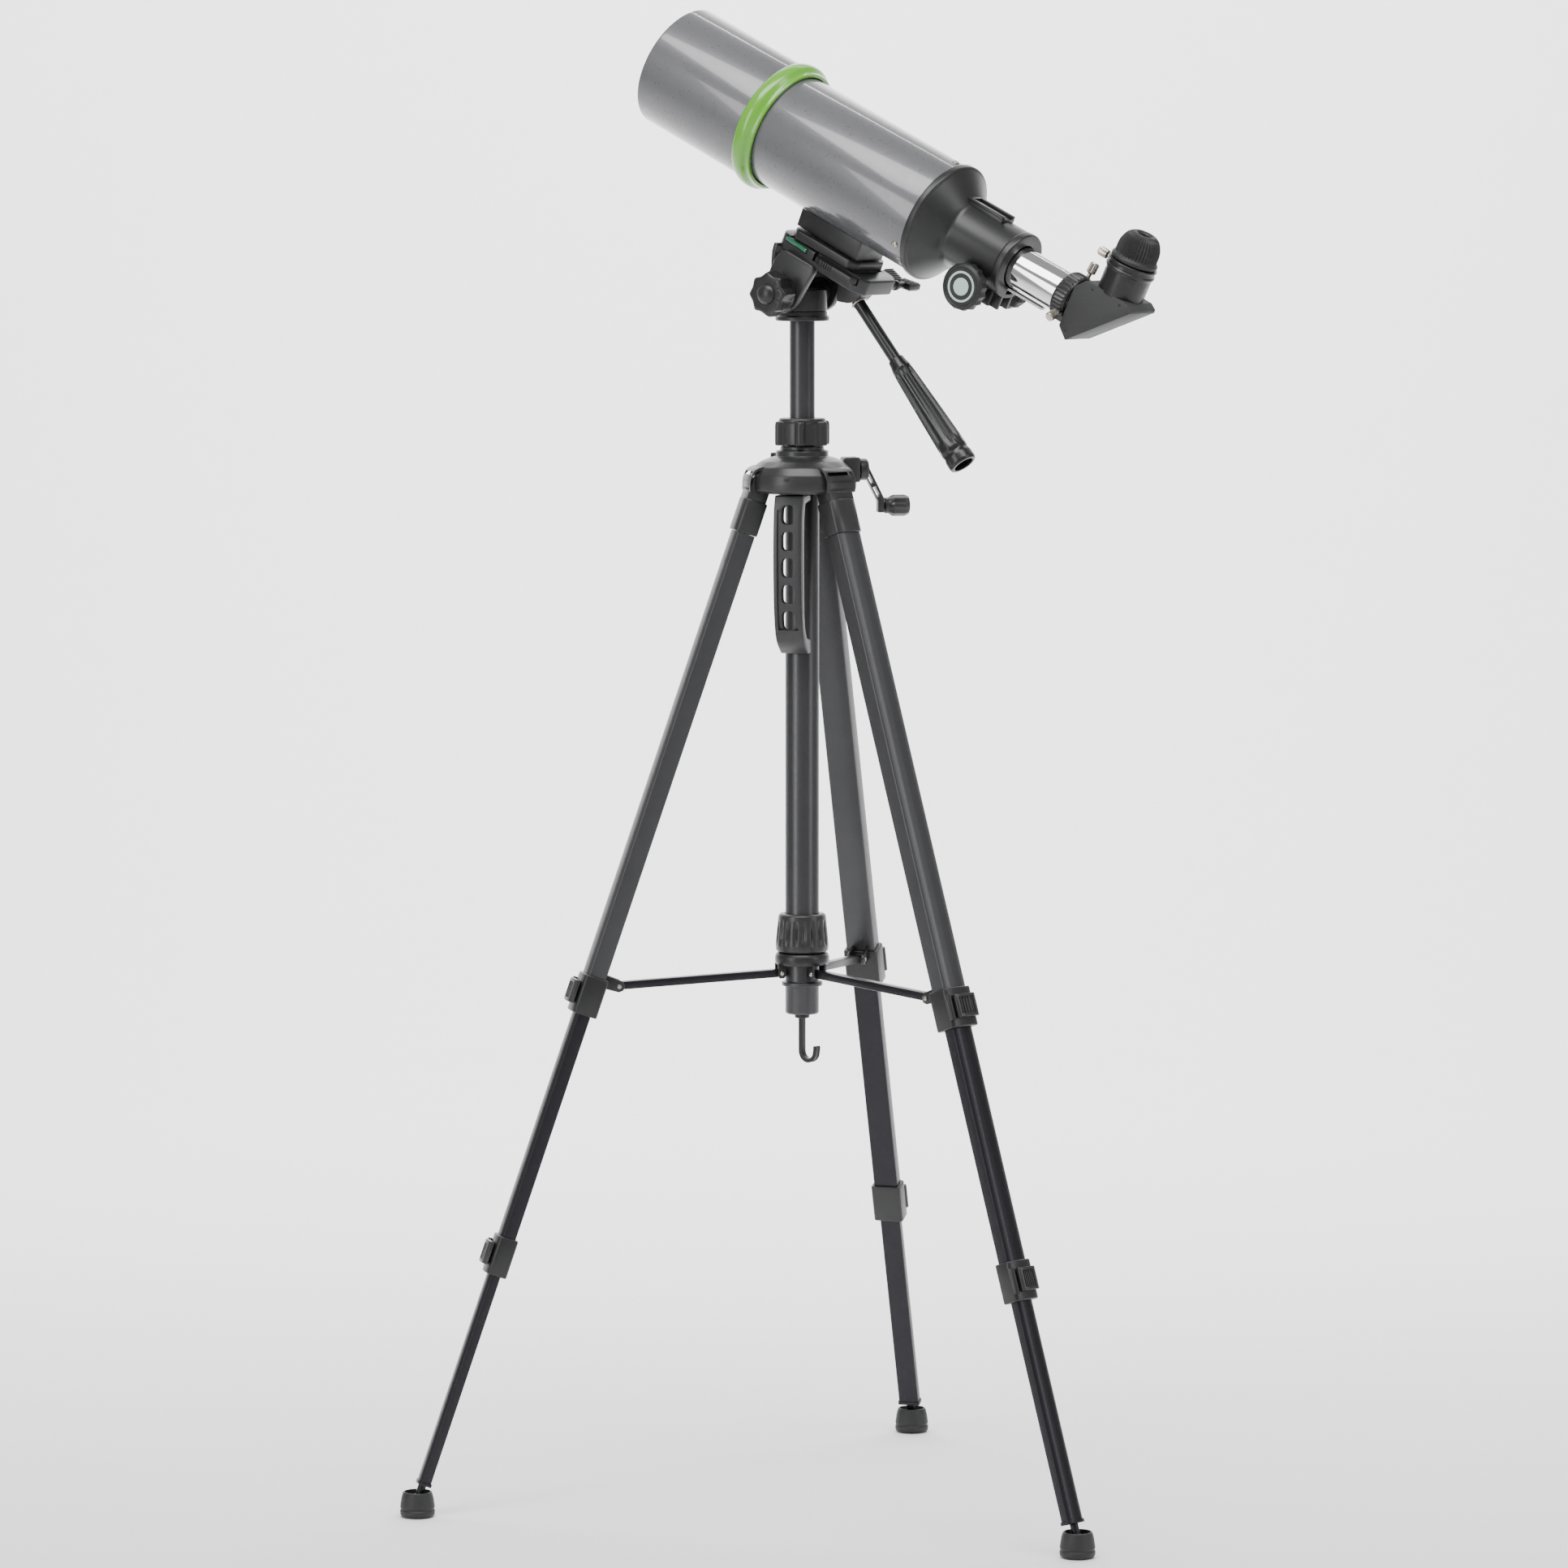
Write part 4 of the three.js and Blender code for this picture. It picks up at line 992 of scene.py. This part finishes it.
# %% [markdown]
# ## Focuser
# A ring and a smooth cone lead into a straight barrel with a thicker rim at its end. A finder shoe stands
# on top with two rails, and a gear box hangs below for the pinion.

# %% Focuser housing
PINION_SPOT = shift(-165.7, 0, -28)


def rack_slots():
    return [block((-205, -4.6, -25.4), (-108, 4.6, -15), 0),
            block((-173.7, -4.6, -36), (-157.7, 4.6, -20), 0)]


def pinion_bore():
    return moved(rod(3.3, -44, 44, 0, 32), ALONG_Y, PINION_SPOT)


def focuser():
    shell = [(19.2, -187.6), (28.6, -187.6), (29.35, -186.4), (29.35, -181.5), (28.7, -180.6), (28.7, -129),
             (29.2, -127), (31, -124.6), (50.2, -107.2), (51.6, -106.6), (52.5, -105.6), (52.5, -101),
             (51.8, -100.2), (48.1, -100.2), (48.1, -90), (46.8, -90), (46.8, -103), (28, -119.6),
             (19.2, -123.6)]
    body = around_tube(shell, 1.0)
    box = block((-180.6, -12.9, -39.8), (-150.8, 12.9, -24.2), 1.6, 3)
    bracket = [block((-187.4, side * 7 - 1.6, -39.6), (-176, side * 7 + 1.6, -24), 0.6) for side in (-1, 1)]
    tools = [axis_bore(19.2, -205, -118), *rack_slots(), pinion_bore()]
    piece("focuser_moulding", carved(body, *tools), TUBE, black_abs, "telescope", "black_plastic",
          "focuser_housing")
    clear = [*rack_slots(), axis_bore(28, -205, -118), pinion_bore()]
    under = [carved(box, *clear)]
    under += [carved(strip, axis_bore(28, -205, -118)) for strip in bracket]
    piece("pinion_box", together(*under), TUBE, black_abs, "telescope", "black_plastic", "focuser_housing")
    shoe = [block((-160.8, -9.4, 26.5), (-121.2, 9.4, 30.6), 0.5),
            block((-160.8, -9.4, 29.8), (-121.2, -5.2, 33.1), 0.7),
            block((-160.8, 5.2, 29.8), (-121.2, 9.4, 33.1), 0.7),
            block((-126, -9, 29), (-121.3, 9, 33.1), 0.5)]
    piece("finder_shoe", together(*shoe), TUBE, black_abs, "telescope", "black_plastic", "focuser_housing")


def tube_screws():
    for i, angle in enumerate((0, 120, 240)):
        screw = moved(cross_screw(3.1, 1.5), shift(-93, 0, 50), turn("X", -angle))
        piece(f"tube_screw_{i + 1}", screw, TUBE, nickel_steel, "telescope", "nickel")


def dovetail():
    foot = side_cut([(18, -61.8), (18.9, -44), (-47.9, -44), (-49.4, -62.8)], -19.9, 19.9, 1.2, 2)
    bed = axis_bore(50.2, -80, 60, 144)
    piece("dovetail_foot", carved(foot, bed), TUBE, black_abs, "telescope", "black_plastic", "dovetail_block")


focuser()
tube_screws()
dovetail()
print("tube done", len(made))

# %% [markdown]
# The drawtube is bright chrome. A nylon rack with square teeth runs along its underside in a dark channel,
# and the two knobs turn a steel shaft. A knob is a rubber rim of sixteen lobes round a pale printed face.

# %% Drawtube, rack, knobs and clamp ring
def drawtube():
    wall = around_tube([(16.6, -246.5), (18.2, -246.5), (18.2, -106.1), (16.6, -106.1)], 0.3)
    piece("chrome_drawtube", wall, TUBE, chrome_plate, "drawtube", "chrome", "drawtube")
    channel = block((-224, -3.4, -19.6), (-116, 3.4, -17.6), 0.2)
    piece("rack_channel", channel, TUBE, satin_black, "drawtube", "black_plastic", "drawtube")
    bars = [block((-223.4 + 2.6 * i, -2.9, -21.9), (-222.0 + 2.6 * i, 2.9, -19.5), 0.15,
                  1) for i in range(41)]
    spine = block((-224, -3.0, -20.6), (-116, 3.0, -19.4), 0.15)
    piece("nylon_rack", together(spine, *bars), TUBE, pale_nylon, "drawtube", "chrome", "drawtube")


def focus_knob(side):
    rim = turned([(3.4, 28.9), (18.4, 28.9), (20, 30.2), (20.3, 31.2), (20.3, 36.4), (19.6, 38.2),
                  (18.4, 39.4), (17.2, 40.5), (16.2, 40.5), (15.7, 39.7), (3.4, 39.7)], 0.5, 256)
    fluted(rim, 16, 1.5, 28, 38.6, 1.8, 17.6, 0.6)
    hub = turned([(3.4, 26.7), (12.5, 26.7), (13.5, 28.9), (13.5, 30), (3.4, 30)], 0.5, 96)
    face = rod(3, 38.5, 40.1, 0, 64)
    plain = turned([(0, 39.2), (15.6, 39.2), (15.6, 40.0), (13.4, 40.0), (13.2, 39.9), (0, 39.9)], 0.1, 128,
                   closed=False)
    print_ring = pipe(11.2, 13.0, 39.5, 40.3, 0.1, 128)
    print_disc = rod(7.4, 39.6, 40.3, 0.1, 96)
    flip = turn("X", 0 if side > 0 else 180)
    label = "left" if side > 0 else "right"
    piece(f"focus_knob_{label}_grip", moved(together(rim, hub, face, plain), ALONG_Y, flip, PINION_SPOT),
          TUBE, black_rubber, "focus_shaft", "soft_black", f"focus_knob_{label}")
    piece(f"focus_knob_{label}_print", moved(together(print_ring, print_disc), ALONG_Y, flip, PINION_SPOT),
          TUBE, pale_print, "focus_shaft", "soft_black")


def focus_shaft():
    shaft = moved(rod(2.85, -37.9, 37.9, 0.3, 40), ALONG_Y)
    pinion = rod(5.3, -3.7, 3.7, 0.2, 96)
    pinion = moved(fluted(pinion, 12, 1.2, -4, 4, 0.1, 4.5), ALONG_Y)
    piece("steel_focus_shaft", moved(together(shaft, pinion), PINION_SPOT), TUBE, nickel_steel,
          "focus_shaft", "nickel", "focus_shaft")


RING_SCREW_X = -249.3
RING_SCREW_TURNS = (12, -115)


def clamp_ring():
    ring = turned([(18.6, 238.1), (20.6, 238.1), (21.3, 239.4), (21.8, 240.6), (21.8, 249.2), (20.9, 250),
                   (20.3, 251.6), (16.3, 251.6), (16.3, 247.1), (18.6, 247.1)], 0.5, 240)
    fluted(ring, 40, 1.0, 239.6, 250, 0.8, 20, 0.8)
    moved(ring, turn("Y", -90))
    holes = [moved(rod(2.2, 12, 30, 0, 24), shift(RING_SCREW_X, 0, 0),
                   turn("X", angle)) for angle in RING_SCREW_TURNS]
    piece("ribbed_clamp_ring", carved(ring, *holes), TUBE, black_abs, "drawtube", "black_plastic",
          "clamp_ring")
    for i, angle in enumerate(RING_SCREW_TURNS):
        screw = moved(thumbscrew(8, 10.1, 4), shift(RING_SCREW_X, 0, 16.9), turn("X", angle))
        piece(f"knurled_ring_screw_{i + 1}", screw, TUBE, nickel_steel, f"ring_screw_{i + 1}", "nickel",
              f"ring_screw_{i + 1}")


drawtube()
focus_knob(1)
focus_knob(-1)
focus_shaft()
clamp_ring()

# %% [markdown]
# ## Diagonal and eyepiece
# The diagonal is a folded prism-shaped box with a cut-off corner and a flat cover on its long side, held by
# three tiny screws on each side. The gloss holder stands on it, and the eyepiece drops in, with a ribbed
# rubber eyecup.

# %% Diagonal
EYE_SPOT = shift(-286, 0, 0)


def diagonal():
    outline = [(-264.5, -28.4), (-253.9, -20), (-253.9, 16), (-262.8, 25.4), (-306, 25.4), (-311.9, 22),
               (-311.9, 19.2)]
    prism = side_cut(outline, -19.4, 19.4, 0.7, 2)
    light_way = axis_bore(13.6, -276, -220, 72)
    eye_way = moved(rod(13, 6, 34, 0, 72), EYE_SPOT)
    room = side_cut([(-303.7, 14.3), (-271.7, -17.7), (-269.7, -15.7), (-266, -12), (-266, 12), (-274, 19.5),
                     (-298, 19.5), (-301.7, 16.3)], -15, 15, 0)
    piece("diagonal_prism_box", carved(prism, light_way, eye_way, room), TUBE, matt_abs, "diagonal",
          "black_plastic", "diagonal_housing")
    nose = around_tube([(13.7, -256), (15.8, -256), (15.8, -228.2), (13.7, -228.2)], 0.4, 96)
    piece("diagonal_nose", nose, TUBE, chrome_plate, "diagonal", "black_plastic", "diagonal_housing")
    holder = turned([(16.15, 24), (19.9, 24), (19.9, 44.2), (21, 45.2), (21.3, 46), (21.3, 47.2),
                     (20.6, 47.8), (20.6, 51.2), (21.3, 51.9), (21.3, 52.8), (20.6, 53.3), (16.15, 53.3)],
                    0.4, 128)
    bore = moved(rod(2.1, 14, 30, 0, 24), ALONG_X, shift(0, 0, 48))
    piece("gloss_eyepiece_holder", moved(carved(holder, bore), EYE_SPOT), TUBE, satin_black, "diagonal",
          "black_plastic", "diagonal_housing")
    mirror = moved(block((-21.9, -13.9, -1.9), (21.9, 13.9, -0.1), 0.2), turn("Y", 45), EYE_SPOT)
    piece("diagonal_mirror_plate", mirror, TUBE, silvered, "diagonal", "mirror", "diagonal_mirror")
    screw = moved(thumbscrew(7, 10.1, 3.9), ALONG_X, shift(-269.1, 0, 48))
    piece("knurled_holder_screw", screw, TUBE, nickel_steel, "holder_screw", "nickel", "holder_screw")
    small = []
    for x, z in ((-300, 21.5), (-271, 21.5), (-262, -20.5)):
        small.append(moved(cross_screw(1.2, 0.35), ALONG_Y, shift(x, 19.4, z)))
        small.append(moved(cross_screw(1.2, 0.35), ALONG_Y, turn("Z", 180), shift(x, -19.4, z)))
    piece("diagonal_screws", together(*small), TUBE, black_steel, "diagonal", "nickel")


def eyepiece():
    barrel = pipe(9.1, 15.7, 29.1, 53.7, 0.4, 96)
    piece("eyepiece_barrel", moved(barrel, EYE_SPOT), TUBE, chrome_plate, "eyepiece", "soft_black",
          "eyepiece")
    rubber = [(9.1, 53.8), (19.2, 53.8), (20, 54.8), (20.1, 56.6), (19.4, 57.8), (18.2, 58.5), (18.3, 60),
                  (18.2, 66), (17.4, 69.6), (15.7, 73.6), (14.2, 76), (11.6, 78.1), (9.8, 79.1), (7.6, 79.3),
                  (5.3, 77.4), (5.3, 58.2), (9.1, 56)]
    cup = turned(dense(rubber, 1.5), 0.4, 336)
    fluted(cup, 42, 1.15, 58.4, 79.1, 1.6, 9.3, 0.7)
    piece("ribbed_eyecup", moved(cup, EYE_SPOT), TUBE, black_rubber, "eyepiece", "soft_black", "eyepiece")
    lens = turned([(0, 66), (5.25, 66), (5.25, 67), (3, 68), (0, 68.4)], 0, 64, closed=False)
    piece("eye_lens", moved(lens, EYE_SPOT), TUBE, coated_glass, "eyepiece", "glass")


diagonal()
eyepiece()
print("all pieces", len(made))

# %% [markdown]
# ## Stage, light and camera
# A pale floor sweeps up into a backdrop, so no horizon shows. One long soft light overhead draws the broad
# highlight along the tube, two more fill from the sides, and one washes the backdrop.

# %% Floor, lights and camera
def stage_mesh(name, shape, material):
    mesh = bpy.data.meshes.new(name)
    shape.to_mesh(mesh)
    shape.free()
    mesh.shade_smooth()
    mesh.materials.append(material)
    thing = bpy.data.objects.new(name, mesh)
    bpy.context.scene.collection.objects.link(thing)


VIEW_TURN = 145.2
VIEW_LENS = 167.7
VIEW_DISTANCE = 6.211
VIEW_HEIGHT = 1.2173
VIEW_PITCH = math.radians(5.496)
VIEW_YAW = -0.0025
to_row = Matrix.Rotation(math.radians(-VIEW_TURN), 3, "Z")
column_axis = Vector((column_spot.x, column_spot.y, 0))
away = to_row @ Vector((0, 1, 0))
across_view = to_row @ Vector((1, 0, 0))


def sweep():
    paper = finish("pale_paper", "#F6F6F6", "#F3F3F3", 0.9, 0.03, 4.0, 0.002)
    line = [(-9.0, 0.0), (2.5, 0.0)]
    angles = [i * math.pi / 24 for i in range(1, 13)]
    line += [(2.5 + 1.5 * math.sin(a), 1.5 - 1.5 * math.cos(a)) for a in angles]
    line.append((4.0, 5.0))
    shape = bmesh.new()
    rows = [[shape.verts.new(column_axis + away * d + across_view * side + UP * (h - 0.0004))
             for side in (-6, 6)] for d, h in line]
    for one, two in zip(rows, rows[1:]):
        shape.faces.new((one[0], one[1], two[1], two[0]))
    stage_mesh("paper_sweep", shape, paper)


def soft_light(name, place, target, width, height, watts):
    data = bpy.data.lights.new(name, "AREA")
    data.shape = "RECTANGLE"
    data.size = width
    data.size_y = height
    data.energy = watts
    lamp = bpy.data.objects.new(name, data)
    bpy.context.scene.collection.objects.link(lamp)
    lamp.location = place
    lamp.rotation_euler = (Vector(target) - Vector(place)).to_track_quat("-Z", "Y").to_euler()


def studio():
    middle = column_axis + UP * 0.9
    soft_light("overhead_box", middle + UP * 2.2 - away * 1.2, middle, 3.0, 1.2, 95)
    soft_light("left_fill", middle - across_view * 2.6 - away * 2.4 + UP * 0.5, middle, 1.0, 2.4, 40)
    soft_light("right_fill", middle + across_view * 2.8 - away * 1.6 + UP * 0.8, middle, 0.7, 2.4, 26)
    soft_light("backdrop_wash", middle + away * 1.4 + UP * 2.2, middle + away * 3.8 + UP * 0.2, 4.0, 1.0, 330)
    world = bpy.data.worlds.new("pale_sky")
    world.use_nodes = True
    world.node_tree.nodes["Background"].inputs["Color"].default_value = linear("#F4F5F7")
    world.node_tree.nodes["Background"].inputs["Strength"].default_value = 0.5
    bpy.context.scene.world = world


def view_camera():
    data = bpy.data.cameras.new("studio_camera")
    data.sensor_width = 36
    data.lens = VIEW_LENS
    data.clip_end = 60
    camera = bpy.data.objects.new("studio_camera", data)
    bpy.context.scene.collection.objects.link(camera)
    look = Vector((math.sin(VIEW_YAW) * math.cos(VIEW_PITCH), math.cos(VIEW_YAW) * math.cos(VIEW_PITCH),
                   -math.sin(VIEW_PITCH)))
    camera.location = column_axis - away * VIEW_DISTANCE + UP * VIEW_HEIGHT
    camera.rotation_euler = (to_row @ look).to_track_quat("-Z", "Y").to_euler()
    bpy.context.scene.camera = camera


sweep()
studio()
view_camera()

# %% [markdown]
# ## Piece count

# %% Count the pieces
print("pieces", len(made))
